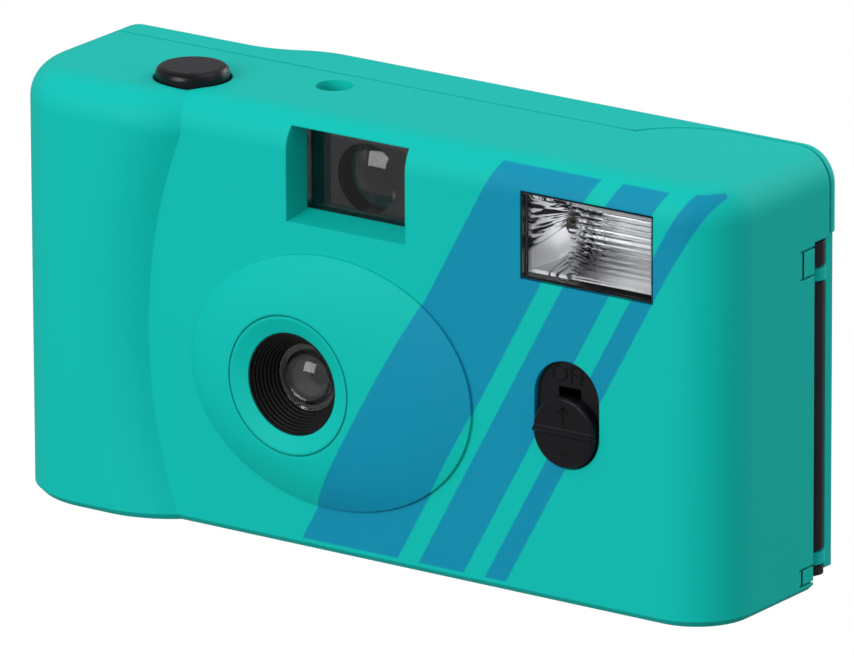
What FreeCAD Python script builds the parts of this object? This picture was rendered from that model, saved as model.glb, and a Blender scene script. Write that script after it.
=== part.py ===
import FreeCAD, Part
import math
import os

# Compact 35 mm film camera with a moulded grip, an oval lens boss, a fixed flash and a hinged film door.
# Millimetres. X runs to the right as the front is looked at, Y from the front to the back, and Z up.
# The front plane is Y = 0 while the pieces are made. Each finished piece is then moved so that the
# origin is at the bottom centre.

V = FreeCAD.Vector
PARTS = "parts"

# Outer body
width = 118.0
height = 61.5
depth = 30.0
grip_proud = 3.5
wall = 1.6
front_corner = 9.0
grip_corner = 13.5
top_round = 5.0
inner_bevel = 2.0
bottom_bevel = 0.9
back_round = 1.6
thumb_depth = 26.6
thumb_start_x = -36.0
thumb_end_x = -22.0

# Grip edge: an arc about a point on the right, and a swept shoulder up to the grip
grip_edge_x = 40.0
grip_edge_z = 27.0
grip_edge_r = 75.0
grip_shoulder = 9.5

# Seams
seam_y = 20.6
seam_gap = 0.35
door_top_z = 49.5
door_gap = 0.4
seam_end_x = 32.0
seam_arc_x = 45.0
shell_tail_y = 27.6
hinge_side_y = 24.0

# Lens
lens_x = -9.4
lens_z = 24.0
boss_x = -4.0
boss_z = 24.7
boss_rx = 23.4
boss_rz = 18.0
boss_rim = 0.45
boss_height = 2.85
boss_land = 0.3
trim_r = 9.8
trim_gap = 0.22
trim_length = 3.6
lens_mouth_r = 7.3
mouth_drop = 0.85
barrel_wall = 1.0
barrel_back_y = 7.6
baffle_steps = 8
baffle_end_y = 1.9
lens_r = 4.8
lens_dome_r = 3.9
lens_rim = 0.7
lens_bulge = 1.7
lens_clear = 0.05
aperture_r = 1.4
aperture_y = 3.6
aperture_thick = 0.5
blade_y = 4.6
blade_thick = 0.3
blade_pivot_dx = 4.6
blade_pivot_dz = 3.9
blade_pin_r = 0.6
shutter_y = 5.4
shutter_thick = 0.6
image_r = 4.4

# Viewfinder
finder_x = -1.6
finder_z = 53.15
finder_w = 19.8
finder_h = 13.4
finder_depth = 4.4
finder_taper_side = 0.4
finder_taper_bottom = 1.0
finder_taper_top = 0.2
finder_skin = 0.9
finder_glass = 1.4
finder_tunnel_wall = 0.8
finder_seat_r = 6.1
eye_w = 11.0
eye_h = 6.2
eye_z = 54.0
eye_glass = 1.5
eye_rim = 0.7

# Flash
flash_x = 38.1
flash_z = 51.2
flash_w = 21.6
flash_h = 12.4
flash_gap = 0.25
flash_glass = 1.5
flash_rib = 0.3
flash_ribs = 13
reflector_depth = 9.2
reflector_skin = 0.5
reflector_inset = 0.9
reflector_inset_z = 1.3
reflector_throat_h = 3.6
reflector_end_slope = 4.4
tube_r = 1.15
tube_y = 8.2
tube_clear = 0.1
tube_overhang = 3.2
sleeve_r = 1.9

# Flash switch
switch_x = 34.9
switch_z = 27.0
switch_w = 10.6
switch_travel = 4.6
switch_plate_drop = 0.8
switch_plate_thick = 0.8
switch_plate_rim = 1.0
knob_proud = 1.0
knob_clear = 0.3
knob_ridge = 0.6
knob_ridge_h = 1.5
knob_stem_w = 3.0
knob_stem_h = 2.2

# Shutter button and its lever
button_x = -33.0
button_y = 8.1
button_hole_r = 5.5
button_clear = 0.35
button_proud = 1.7
button_skirt = 3.4
button_edge = 1.0
button_stem_r = 1.6
button_stem_low = 50.2
guide_z = 55.4
guide_thick = 1.2
guide_clear = 0.3
lever_x = -21.0
lever_z = 46.4
lever_y = 7.2
lever_thick = 1.4
lever_hub_r = 2.4
lever_pin_r = 0.9
lever_arm_h = 2.0
lever_tail = 6.2
button_rest_gap = 0.3

# Film counter
counter_x = -14.4
counter_y = 15.5
counter_hole_r = 2.6
dial_x = -21.4
dial_r = 8.2
dial_z = 56.9
dial_thick = 0.8
dial_teeth = 36
dial_tooth = 0.55
dial_post_r = 1.0

# Film path
film_y = 24.9
gate_w = 36.0
gate_h = 24.0
film_h = 35.0
gate_thick = 1.4
box_skin = 1.0
cassette_r = 12.9
cassette_x = 23.9
cassette_y = 15.5
cassette_skin = 0.9
chamber_low = 2.15
chamber_floor = 0.5
chamber_top = 45.4
spool_x = -45.2
spool_y = 17.2
spool_core_r = 5.0
spool_flange_r = 7.5
spool_low = 5.0
spool_high = 43.0
spool_flange = 1.2
spool_shaft_r = 2.0
spool_slot = 1.2
wheel_r = 10.4
wheel_z = 50.8
wheel_thick = 4.2
wheel_notches = 30
wheel_notch_r = 0.55
sprocket_x = -33.4
sprocket_y = 19.0
sprocket_r = 4.5
sprocket_tooth = 0.8
sprocket_teeth = 6
sprocket_shaft_r = 1.4
sprocket_disc = 2.2
finger_reach = 3.9
finger_shaft_r = 1.0

# Hinge of the film door
hinge_inset = 1.9
hinge_y = 26.3
barrel_r = 1.7
knuckle_r = 1.9
hinge_pin_r = 0.8
hinge_pin_clear = 0.05
barrel_low = 5.3
barrel_high = 43.3
knuckle_h = 1.7
knuckle_gap = 0.35
lug_low = 0.9
lug_high = 49.0
door_end_inset = 1.0
door_rim = 1.0
plate_left = 1.2
plate_right = 7.0
plate_h = 37.0
plate_thick = 1.0
plate_corner = 2.0

# Latch on the grip side
latch_z = 26.0
latch_y = 14.5
latch_w = 5.0
latch_h = 12.0
latch_drop = 0.2
latch_travel = 3.0
latch_thick = 1.0
latch_ribs = 5

# Rewind crank and its release
crank_r = 8.6
crank_thick = 1.9
crank_clear = 0.4
crank_drop = 0.2
crank_well = 1.15
crank_arm_w = 3.6
crank_arm_len = 13.0
crank_arm_thick = 0.8
crank_pin_r = 0.4
fork_r = 2.1
fork_high = 9.5
release_x = -1.5
release_y = 6.0
release_r = 1.7
release_clear = 0.3
release_len = 4.2

# Battery and its door
battery_x = 49.4
battery_y = 15.6
battery_r = 5.25
battery_len = 42.5
battery_low = 2.0
battery_nub_r = 1.9
battery_nub = 1.0
battery_door_w = 13.0
battery_door_l = 15.0
battery_door_thick = 1.3
battery_door_clear = 0.3
contact_thick = 0.4

# Flash electronics
board_y = 13.2
board_thick = 1.2
capacitor_r = 4.2
capacitor_len = 26.0
capacitor_x = 12.5
capacitor_y = 20.2
coil_r = 2.6
coil_len = 6.5
lamp_r = 1.4
lamp_x = 14.0
lamp_z = 55.0

# Screws
screw_head_r = 1.5
screw_low_z = 3.35
screw_high_z = 44.8
screw_head = 1.0

# Values worked out from the ones above
half = width / 2.0
inner_half = half - wall
floor_z = wall
ceiling_z = height - wall
centre_y = (depth - grip_proud) / 2.0
hinge_x = half - hinge_inset
gate_x0 = lens_x - gate_w / 2.0
gate_x1 = lens_x + gate_w / 2.0
deck_y = barrel_back_y + 3.6
chamber_crown = chamber_top + cassette_skin
capacitor_z = chamber_crown + capacitor_r + 0.1


# Small makers

def box(x0, x1, y0, y1, z0, z1):
    return Part.makeBox(x1 - x0, y1 - y0, z1 - z0, V(x0, y0, z0))


def rod_y(x, z, r, y0, y1):
    return Part.makeCylinder(r, y1 - y0, V(x, y0, z), V(0, 1, 0))


def rod_z(x, y, r, z0, z1):
    return Part.makeCylinder(r, z1 - z0, V(x, y, z0), V(0, 0, 1))


def rod_x(y, z, r, x0, x1):
    return Part.makeCylinder(r, x1 - x0, V(x0, y, z), V(1, 0, 0))


def cone_y(x, z, r0, r1, y0, y1):
    return Part.makeCone(r0, r1, y1 - y0, V(x, y0, z), V(0, 1, 0))


def fuse(first, *more):
    flat = [s for s in more if s is not None]
    return first.fuse(flat).removeSplitter() if flat else first


def cut(shape, *tools):
    return shape.cut([t for t in tools if t is not None])


def prism(points, run):
    wire = Part.makePolygon(points + [points[0]])
    return Part.Face(wire).extrude(run)


def frustum(front, back):
    """A tapered block between two upright rectangles, each given as (x0, x1, z0, z1, y)."""
    ring = []
    for x0, x1, z0, z1, y in (front, back):
        ring.append([V(x0, y, z0), V(x1, y, z0), V(x1, y, z1), V(x0, y, z1)])
    a, b = ring
    quads = [a[::-1], b] + [[a[i], a[(i + 1) % 4], b[(i + 1) % 4], b[i]] for i in range(4)]
    faces = [Part.Face(Part.makePolygon(q + [q[0]])) for q in quads]
    return Part.Solid(Part.Shell(faces))


def slot_y(x, z, w, travel, y0, y1):
    """An upright slot with round ends: w wide, its end circles `travel` apart."""
    r = w / 2.0
    low, high = z - travel / 2.0, z + travel / 2.0
    return fuse(box(x - r, x + r, y0, y1, low, high), rod_y(x, low, r, y0, y1), rod_y(x, high, r, y0, y1))


def at_corner(edge, x, y):
    """True for an upright edge that stands at (x, y)."""
    a, b = edge.Vertexes[0].Point, edge.Vertexes[-1].Point
    upright = abs(a.x - b.x) < 1e-6 and abs(a.y - b.y) < 1e-6
    return upright and abs(a.x - x) < 1e-3 and abs(a.y - y) < 1e-3


def edges_at_height(shape, z):
    return [e for e in shape.Edges if all(abs(v.Point.z - z) < 1e-6 for v in e.Vertexes)
            and abs(e.CenterOfMass.z - z) < 1e-6]


# The outer form, made once at full size and once inset by the wall

def slab(front_y, inset):
    """A slab with its front corners rounded, that runs on past the back, where it is cut off afterwards."""
    x = half - inset
    y = front_y + inset
    block = box(-x, x, y, 2.0 * depth, inset, height - inset)
    block = block.makeFillet(grip_corner - inset, [e for e in block.Edges if at_corner(e, -x, y)])
    return block.makeFillet(front_corner - inset, [e for e in block.Edges if at_corner(e, x, y)])


def grip_scoop(inset):
    """What is taken off the grip: a disc about the arc's centre, with a rounded rise to the grip's face."""
    drop = grip_proud
    y0 = inset
    bow = (grip_shoulder ** 2 + drop ** 2) / (2.0 * drop)
    turn = math.asin(grip_shoulder / bow) / 2.0
    outer = grip_edge_r + grip_shoulder
    foot = V(grip_edge_x - grip_edge_r, y0, grip_edge_z)
    mid = V(grip_edge_x - outer + bow * math.sin(turn), y0 - drop + bow * (1.0 - math.cos(turn)),
            grip_edge_z)
    crest = V(grip_edge_x - outer, y0 - drop, grip_edge_z)
    far = y0 - 3.0 * drop
    lift = V(grip_edge_x - outer, far, grip_edge_z)
    hub = V(grip_edge_x, far, grip_edge_z)
    base = V(grip_edge_x, 2.0 * depth, grip_edge_z)
    heel = V(grip_edge_x - grip_edge_r, 2.0 * depth, grip_edge_z)
    face = Part.Face(Part.Wire([
        Part.makeLine(base, heel),
        Part.makeLine(heel, foot),
        Part.Arc(foot, mid, crest).toShape(),
        Part.makeLine(crest, lift),
        Part.makeLine(lift, hub),
        Part.makeLine(hub, base),
    ]))
    return face.revolve(V(grip_edge_x, 0, grip_edge_z), V(0, 1, 0), 360)


def back_cutter(inset):
    """All that lies behind the back: flat behind the film, stepped forward for the thumb."""
    y_far = 3.0 * depth
    y_main, y_thumb = depth - inset, thumb_depth - inset
    step = y_main - y_thumb
    run = thumb_end_x - thumb_start_x
    bow = (run ** 2 + step ** 2) / (4.0 * step)
    turn = math.asin(run / 2.0 / bow)
    x_mid, y_mid = (thumb_start_x + thumb_end_x) / 2.0, (y_main + y_thumb) / 2.0
    x_q = bow * math.sin(turn / 2.0)
    y_q = bow * (1.0 - math.cos(turn / 2.0))
    z0 = -height
    p_left = V(-width, y_thumb, z0)
    p_a = V(thumb_start_x, y_thumb, z0)
    p_b = V(x_mid, y_mid, z0)
    p_c = V(thumb_end_x, y_main, z0)
    p_right = V(width, y_main, z0)
    first = Part.Arc(p_a, V(thumb_start_x + x_q, y_thumb + y_q, z0), p_b).toShape()
    second = Part.Arc(p_b, V(thumb_end_x - x_q, y_main - y_q, z0), p_c).toShape()
    wire = Part.Wire([
        Part.makeLine(p_left, p_a), first, second, Part.makeLine(p_c, p_right),
        Part.makeLine(p_right, V(width, y_far, z0)),
        Part.makeLine(V(width, y_far, z0), V(-width, y_far, z0)),
        Part.makeLine(V(-width, y_far, z0), p_left),
    ])
    return Part.Face(wire).extrude(V(0, 0, 3.0 * height))


def outer_form(inset):
    grip = cut(slab(-grip_proud, inset), grip_scoop(inset))
    grip = grip.common(box(-width, 0, -depth, 3.0 * depth, -height, 2.0 * height))
    whole = fuse(slab(0.0, inset).common(box(-half + grip_corner, width, -depth, 3.0 * depth, -height,
                                             2.0 * height)), grip)
    if inset > 0.0:
        return cut(whole.makeChamfer(inner_bevel, rim_edges(whole, height - inset)), back_cutter(inset))
    whole = whole.makeFillet(top_round, rim_edges(whole, height))
    whole = whole.makeChamfer(bottom_bevel, rim_edges(whole, 0.0))
    return cut(whole, back_cutter(inset))


def rim_edges(shape, z):
    """The top or bottom edges, without those at the slab's far end."""
    return [e for e in edges_at_height(shape, z) if min(v.Point.y for v in e.Vertexes) < depth]


def behind_edges(shape, inset):
    """Edges of the cut-off back, for its rounding."""
    found = []
    for e in shape.Edges:
        c = e.CenterOfMass
        ys = [v.Point.y for v in e.Vertexes]
        near = min(ys) >= thumb_depth - inset - 1e-3
        upright = abs(e.Vertexes[0].Point.z - e.Vertexes[-1].Point.z) > 1e-3
        if near and c.z > bottom_bevel and c.y >= thumb_depth - inset - 1e-3 and (abs(c.x) > half
                                                                                  - top_round - 1e-3 or not upright):
            found.append(e)
    return found


def finish_edges(shape):
    return shape.makeFillet(back_round, behind_edges(shape, 0.0))


outside = finish_edges(outer_form(0.0))
inside = outer_form(wall)
skin = cut(outside, inside)


# Regions that share the skin out between the front shell, the rear cover and the film door

def seam_curve_block(shift):
    """The top region behind the seam: a strip along the back that ends in an arc at the hinge side."""
    y = seam_y + shift
    x_end = seam_end_x - shift
    rise = shell_tail_y - seam_y
    run = seam_arc_x - seam_end_x
    mid = V(x_end + run * 0.30, y + rise * 0.62, 0)
    wire = Part.Wire([
        Part.makeLine(V(-width, y, 0), V(x_end, y, 0)),
        Part.Arc(V(x_end, y, 0), mid, V(x_end + run, y + rise, 0)).toShape(),
        Part.makeLine(V(x_end + run, y + rise, 0), V(width, y + rise, 0)),
        Part.makeLine(V(width, y + rise, 0), V(width, 3 * depth, 0)),
        Part.makeLine(V(width, 3 * depth, 0), V(-width, 3 * depth, 0)),
        Part.makeLine(V(-width, 3 * depth, 0), V(-width, y, 0)),
    ])
    return Part.Face(wire).extrude(V(0, 0, 2.0 * height))


def shell_region():
    """Where the front shell has its skin."""
    behind_top = seam_curve_block(0.0)
    region = cut(box(-width, width, -depth, 3 * depth, -height, 2 * height), behind_top)
    hinge_side = box(half - front_corner, width, hinge_side_y, 3 * depth, -height, door_top_z)
    low_back = box(-width, width, seam_y, 3 * depth, floor_z, door_top_z)
    low_right = box(half - front_corner, width, seam_y, hinge_side_y, floor_z, door_top_z)
    region = cut(region, cut(low_back, low_right), hinge_side)
    under_door = box(-width, width, seam_y - 1.0, shell_tail_y - back_round, -height, floor_z)
    hinge_notch = box(hinge_x - knuckle_r - 1.0, width, hinge_side_y, 3 * depth, -height, door_top_z)
    grip_under = box(-width, -inner_half, seam_y, 3 * depth, -height, height)
    return cut(fuse(region, under_door), hinge_notch, grip_under)


def lens_boss():
    """The oval dome round the lens: a loft from the trim ring's seat down to the oval rim."""
    def oval(x, z, rx, rz, y):
        ring = Part.Ellipse(V(x, y, z), rx, rz).toShape()
        ring.rotate(V(x, y, z), V(1, 0, 0), 90)
        return Part.Wire([ring])
    steps = ((0.0, 0.0), (0.30, 0.16), (0.65, 0.48), (1.0, 1.0))
    rings = []
    seat = trim_r + trim_gap + boss_land
    for out, fall in steps:
        x = lens_x + (boss_x - lens_x) * out
        z = lens_z + (boss_z - lens_z) * out
        rx = seat + (boss_rx - seat) * out
        rz = seat + (boss_rz - seat) * out
        rings.append(oval(x, z, rx, rz, -boss_height + (boss_height - boss_rim) * fall))
    dome = Part.makeLoft(rings, True, True)
    under = [f for f in dome.Faces if abs(f.CenterOfMass.y + boss_rim) < 1e-3][0]
    return dome.fuse(under.extrude(V(0, boss_rim + wall / 2.0, 0)))


def finder_funnel(grow):
    """The tapered recess in front of the viewfinder, grown all round by `grow`."""
    x0, x1 = finder_x - finder_w / 2.0 - grow, finder_x + finder_w / 2.0 + grow
    z0, z1 = finder_z - finder_h / 2.0 - grow, finder_z + finder_h / 2.0 + grow
    ahead = 1.0

    def ring(y):
        t = y / finder_depth
        side, low, high = finder_taper_side * t, finder_taper_bottom * t, finder_taper_top * t
        return x0 + side, x1 - side, z0 + low, z1 - high, y
    return frustum(ring(-ahead), ring(finder_depth))


def battery_hatch(grow, z0, z1):
    """The battery door's outline in the bottom."""
    return box(battery_x - battery_door_w / 2 - grow, battery_x + battery_door_w / 2 + grow,
               battery_y - battery_door_l / 2 - grow, battery_y + battery_door_l / 2 + grow, z0, z1)


def flash_hole(grow, y0, y1):
    return box(flash_x - flash_w / 2 - grow, flash_x + flash_w / 2 + grow, y0, y1,
               flash_z - flash_h / 2 - grow, flash_z + flash_h / 2 + grow)


def snap_slits():
    """Slits above and below the two tabs that snap over the hinge lugs."""
    slits = []
    for low, high in ((lug_high - 4.2, lug_high - 0.3), (lug_low + 0.3, lug_low + 2.6)):
        for z in (low, high):
            slits.append(box(inner_half - 1.0, width, hinge_side_y - 3.4, hinge_side_y + 2.0, z, z + 0.3))
        slits.append(box(half - 0.25, width, hinge_side_y - 3.0, hinge_side_y - 2.6, low, high))
    return slits


def front_shell():
    shell = skin.common(shell_region())
    shell = fuse(shell, lens_boss())
    behind_front = box(-width, width, wall / 2.0, finder_depth, 0, height)
    shell = fuse(shell, finder_funnel(finder_skin).common(behind_front).common(outside))
    collar = rod_z(counter_x, counter_y, counter_hole_r + 1.0, ceiling_z - 1.0, ceiling_z + wall / 2.0)
    button_collar = rod_z(button_x, button_y, button_hole_r + 1.0, ceiling_z - 1.2, ceiling_z + wall / 2.0)
    shell = fuse(shell, collar, button_collar)
    tools = [
        rod_y(lens_x, lens_z, trim_r + trim_gap, -depth, depth / 2.0),
        finder_funnel(0.0),
        flash_hole(0.0, -depth, wall + 1.0),
        slot_y(switch_x, switch_z, switch_w, switch_travel, -depth, wall + 1.0),
        rod_z(button_x, button_y, button_hole_r, ceiling_z - 3.0, 2 * height),
        rod_z(counter_x, counter_y, counter_hole_r, ceiling_z - 3.0, 2 * height),
        rod_z(cassette_x, cassette_y, crank_r + crank_clear, -height, floor_z + 1.0),
        rod_z(release_x, release_y, release_r + release_clear, -height, floor_z + 1.0),
        battery_hatch(battery_door_clear, -height, floor_z + 1.0),
        box(-width, -inner_half + 0.2, latch_y - latch_w / 2 - 0.4, latch_y + latch_w / 2 + 0.4,
            latch_z - latch_h / 2 - latch_travel - 0.5, latch_z + latch_h / 2 + 0.5),
    ]
    return cut(shell, *(tools + snap_slits()))


def rear_cover():
    """The fixed cover behind the seam, above the film door, with the eyepiece and the wheel's guard."""
    above = box(-width, width, -depth, 3 * depth, door_top_z + door_gap, 2 * height)
    cover = skin.common(seam_curve_block(seam_gap)).common(above)
    y0, y1 = thumb_depth - wall, depth
    notch = box(spool_x - wheel_r + 1.2, spool_x + wheel_r - 1.2, seam_y + 1.0, 2 * depth, wheel_z - 0.5,
                wheel_z + wheel_thick + 0.5)
    eye = box(finder_x - eye_w / 2, finder_x + eye_w / 2, y0, 2 * y1, eye_z - eye_h / 2, eye_z + eye_h / 2)
    lamp = rod_y(lamp_x, lamp_z, lamp_r + 0.1, y0 - 2.0, 2 * y1)
    hood = box(finder_x - eye_w / 2 - eye_rim, finder_x + eye_w / 2 + eye_rim, depth - wall - 1.2,
               depth - wall + 0.2,
               eye_z - eye_h / 2 - eye_rim, eye_z + eye_h / 2 + eye_rim)
    return cut(fuse(cover, hood), notch, eye, lamp)


# Film door and hinge

def door_bands():
    """Heights of the two knuckles."""
    return ((barrel_high + knuckle_gap, barrel_high + knuckle_gap + knuckle_h),
            (barrel_low - knuckle_gap - knuckle_h, barrel_low - knuckle_gap))


def film_door():
    z0, z1 = floor_z + door_gap, door_top_z
    region = box(-width, half - door_end_inset, seam_y + seam_gap, 3 * depth, z0, z1)
    forward = box(-inner_half, width, -depth, shell_tail_y + 0.2, -height, 2 * height)
    panel = cut(skin.common(region), cut(forward,
                                         box(-width, thumb_end_x + 1.0, thumb_depth - wall, depth,
                                             -height, 2 * height)))
    low_lip = box(-inner_half + 0.5, hinge_x - 6.0, depth - wall - 1.2, depth - wall + 0.2, z0,
                  z0 + door_rim)
    low_lip = cut(low_lip, back_cutter(wall * 0.5))
    top_lip = box(thumb_end_x + 0.5, hinge_x - 6.0, depth - wall - 1.2, depth - wall + 0.2,
                  z1 - door_rim, z1)
    panel = fuse(panel, low_lip, top_lip)
    panel = cut(panel, rod_z(hinge_x, hinge_y, barrel_r + 0.35, -height, height))
    knuckles = []
    for low, high in door_bands():
        ring = rod_z(hinge_x, hinge_y, knuckle_r, low, high)
        arm = box(hinge_x - knuckle_r, half - door_end_inset, hinge_y, depth - wall + 0.2, low, high)
        knuckles.append(fuse(ring, arm))
    panel = fuse(panel, *knuckles)
    return cut(panel, rod_z(hinge_x, hinge_y, hinge_pin_r + hinge_pin_clear, -height, height))


def pressure_plate():
    x0, x1 = gate_x0 - plate_left, gate_x1 + plate_right
    z0, z1 = lens_z - plate_h / 2, lens_z + plate_h / 2
    y0 = film_y + 0.2
    plate = box(x0, x1, y0, y0 + plate_thick, z0, z1)
    uprights = [e for e in plate.Edges if abs(e.Vertexes[0].Point.y
                                              - e.Vertexes[-1].Point.y) > plate_thick / 2]
    plate = plate.makeFillet(plate_corner, uprights)
    grooves = [box(x0 + 3.0, x1 - 3.0, y0 - 1.0, y0 + 0.25, z, z + 1.0) for z in (z0 + 3.0, z1 - 4.0)]
    return cut(plate, *grooves)


def plate_springs():
    """Two bowed leaves between the pressure plate and the door."""
    y0 = film_y + 0.2 + plate_thick
    y1 = depth - wall
    leaves = []
    x = lens_x + 3.0
    for z in (lens_z - 9.0, lens_z + 9.0):
        pts = [V(x - 13, y1, z), V(x - 12, y1 - 0.4, z), V(x, y0 + 0.05, z), V(x + 12, y1 - 0.4, z),
               V(x + 13, y1, z), V(x + 11, y1, z), V(x, y0 + 0.45, z), V(x - 11, y1, z)]
        leaves.append(prism(pts, V(0, 0, 5.0)).translated(V(0, 0, -2.5)))
    return Part.makeCompound(leaves)


def hinge_pin():
    return rod_z(hinge_x, hinge_y, hinge_pin_r, lug_low + 0.4, lug_high - 0.3)


def hinge_post():
    """The black post along the hinge side: a long barrel and two end lugs on one web."""
    web_x0, web_x1 = hinge_x - barrel_r - 1.6, hinge_x
    root = box(web_x0, inner_half - 0.2, hinge_side_y - 5.0, hinge_side_y - 2.6, floor_z + 0.2, lug_high)
    pieces = [root]
    (_, k_high), (l_low, _) = door_bands()
    spans = ((lug_low + 0.8, l_low - knuckle_gap), (barrel_low, barrel_high),
             (k_high + knuckle_gap, lug_high))
    for low, high in spans:
        pieces.append(rod_z(hinge_x, hinge_y, barrel_r, low, high))
        pieces.append(box(web_x0 + 1.4, web_x1 + 0.2, hinge_side_y - 3.0, hinge_y, low, high))
    post = fuse(pieces[0], *pieces[1:])
    return cut(post, rod_z(hinge_x, hinge_y, hinge_pin_r + 0.02, -height, height))


# Lens, baffle and shutter

def trim_ring():
    y0 = -boss_height
    ring = rod_y(lens_x, lens_z, trim_r, y0, y0 + trim_length)
    throat = rod_y(lens_x, lens_z, lens_mouth_r, y0 - 1.0, y0 + trim_length + 1.0)
    rim = 0.35
    flare = cone_y(lens_x, lens_z, trim_r - rim, lens_mouth_r, y0, y0 + mouth_drop)
    return cut(ring, throat, flare)


def lens_barrel():
    """The black barrel: stepped baffle rings in front, the lens seat, and the shutter's space behind."""
    y0 = -boss_height + mouth_drop + 0.05
    outer = lens_mouth_r - 0.06
    body = rod_y(lens_x, lens_z, outer, y0, barrel_back_y)
    flange = rod_y(lens_x, lens_z, trim_r, -boss_height + trim_length + 0.1, barrel_back_y)
    body = fuse(body, flange)
    steps = []
    end_r = lens_r + 0.1
    mouth = outer - 0.25
    length = (baffle_end_y - y0) / baffle_steps
    for i in range(baffle_steps):
        r = mouth + (end_r - mouth) * i / (baffle_steps - 1.0)
        start = y0 - (1.0 if i == 0 else 0.0)
        steps.append(rod_y(lens_x, lens_z, r, start + length * i * (i > 0), y0 + length * (i + 1)))
    seat = rod_y(lens_x, lens_z, lens_r + lens_clear, baffle_end_y - 0.1, aperture_y)
    aperture_seat = rod_y(lens_x, lens_z, lens_r + lens_clear, aperture_y - 0.1,
                          aperture_y + aperture_thick)
    shutter_room = rod_y(lens_x, lens_z, trim_r - barrel_wall, aperture_y + aperture_thick,
                         barrel_back_y + 1.0)
    tail_slot = box(lens_x, lens_x + trim_r + 2, aperture_y + aperture_thick, barrel_back_y + 1,
                    lens_z + 2.0, lens_z + trim_r + 2)
    return cut(body, *(steps + [seat, aperture_seat, shutter_room, tail_slot]))


def front_lens():
    """A moulded lens: a domed front and a hollowed back inside a flat rim."""
    y0 = baffle_end_y
    rim = rod_y(lens_x, lens_z, lens_r, y0, y0 + lens_rim)
    ball_r = (lens_dome_r ** 2 + lens_bulge ** 2) / (2 * lens_bulge)
    ball = Part.makeSphere(ball_r, V(lens_x, y0 - lens_bulge + ball_r, lens_z))
    cap = ball.common(rod_y(lens_x, lens_z, lens_dome_r, y0 - lens_bulge - 0.1, y0 + lens_rim))
    back_r = 3.0 * lens_dome_r
    hollow = Part.makeSphere(back_r, V(lens_x, y0 + lens_rim - 0.35 + back_r, lens_z))
    return cut(fuse(rim, cap), hollow.common(rod_y(lens_x, lens_z, lens_dome_r, y0, y0 + lens_rim + 0.2)))


def aperture_plate():
    y0 = aperture_y
    disc = rod_y(lens_x, lens_z, lens_r, y0 - 0.9, y0 + aperture_thick)
    cone = cone_y(lens_x, lens_z, lens_dome_r, aperture_r, y0 - 0.9, y0 + aperture_thick * 0.5)
    return cut(disc, cone, rod_y(lens_x, lens_z, aperture_r, y0, y0 + 1.0))


def blade_pivot():
    return lens_x + blade_pivot_dx, lens_z + blade_pivot_dz


def shutter_blade():
    """One pivoting leaf that covers the aperture."""
    px, pz = blade_pivot()
    y0, y1 = blade_y, blade_y + blade_thick
    leaf = rod_y(lens_x, lens_z, aperture_r + 1.3, y0, y1)
    eye = rod_y(px, pz, blade_pin_r + 0.8, y0, y1)
    dx, dz = px - lens_x, pz - lens_z
    size = math.hypot(dx, dz)
    nx, nz = -dz / size, dx / size
    w = 1.0
    arm = prism([V(lens_x + nx * w, y0, lens_z + nz * w), V(px + nx * w, y0, pz + nz * w),
                 V(px - nx * w, y0, pz - nz * w), V(lens_x - nx * w, y0, lens_z - nz * w)], V(0,
                                                                                              blade_thick, 0))
    return cut(fuse(leaf, eye, arm), rod_y(px, pz, blade_pin_r + 0.05, y0 - 1, y1 + 1))


def shutter_plate():
    """Carries the blade's pin and closes the shutter's space."""
    px, pz = blade_pivot()
    disc = rod_y(lens_x, lens_z, trim_r - barrel_wall - 0.1, shutter_y, shutter_y + shutter_thick)
    pin = rod_y(px, pz, blade_pin_r, blade_y - 0.3, shutter_y + 0.1)
    return cut(fuse(disc, pin), rod_y(lens_x, lens_z, image_r - 1.0, shutter_y - 1, shutter_y + 2))


# Viewfinder

def finder_inner(shrink):
    x0 = finder_x - finder_w / 2 + finder_taper_side + shrink
    x1 = finder_x + finder_w / 2 - finder_taper_side - shrink
    z0 = finder_z - finder_h / 2 + finder_taper_bottom + shrink
    z1 = finder_z + finder_h / 2 - finder_taper_top - shrink
    return x0, x1, z0, min(z1, ceiling_z - 1.2)


def finder_front_lens():
    x0, x1, z0, z1 = finder_inner(-0.3)
    y0 = finder_depth + 0.05
    block = box(x0, x1, y0, y0 + finder_glass, z0, z1)
    bowl_r = 14.0
    bowl = Part.makeSphere(bowl_r, V(finder_x, y0 + finder_glass - 0.9 + bowl_r, (z0 + z1) / 2))
    return cut(block, bowl.common(rod_y(finder_x, (z0 + z1) / 2, finder_seat_r - 0.6, y0,
                                        y0 + finder_glass + 1)))


def finder_tunnel():
    """The black tunnel: a round stop behind the front lens, and a square mouth at the eyepiece."""
    x0, x1, z0, z1 = finder_inner(-0.3)
    y0 = finder_depth + finder_glass + 0.1
    y1 = depth - wall - 1.3
    shell = box(x0, x1, y0, y1, z0, z1)
    zc = (z0 + z1) / 2
    t = finder_tunnel_wall
    stop_y = y0 + 3.2
    stop_thick = 0.8
    front_room = box(x0 + t, x1 - t, y0 - 1, stop_y, z0 + t, z1 - t)
    rear_room = box(x0 + t, x1 - t, stop_y + stop_thick, y1 - 2.0, z0 + t, z1 - t)
    round_stop = rod_y(finder_x, zc, min(finder_seat_r, (z1 - z0) / 2 - t), stop_y - 1, stop_y + 2)
    mouth = box(finder_x - eye_w / 2 + 0.6, finder_x + eye_w / 2 - 0.6, y1 - 3, y1 + 1,
                eye_z - eye_h / 2 + 0.6, eye_z + eye_h / 2 - 0.6)
    return cut(shell, front_room, rear_room, round_stop, mouth)


def eyepiece():
    y1 = depth - wall - 1.2
    return fuse(box(finder_x - eye_w / 2 + 0.1, finder_x + eye_w / 2 - 0.1, y1 - 0.0, y1 + eye_glass,
                    eye_z - eye_h / 2 + 0.1, eye_z + eye_h / 2 - 0.1))


# Flash

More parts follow.
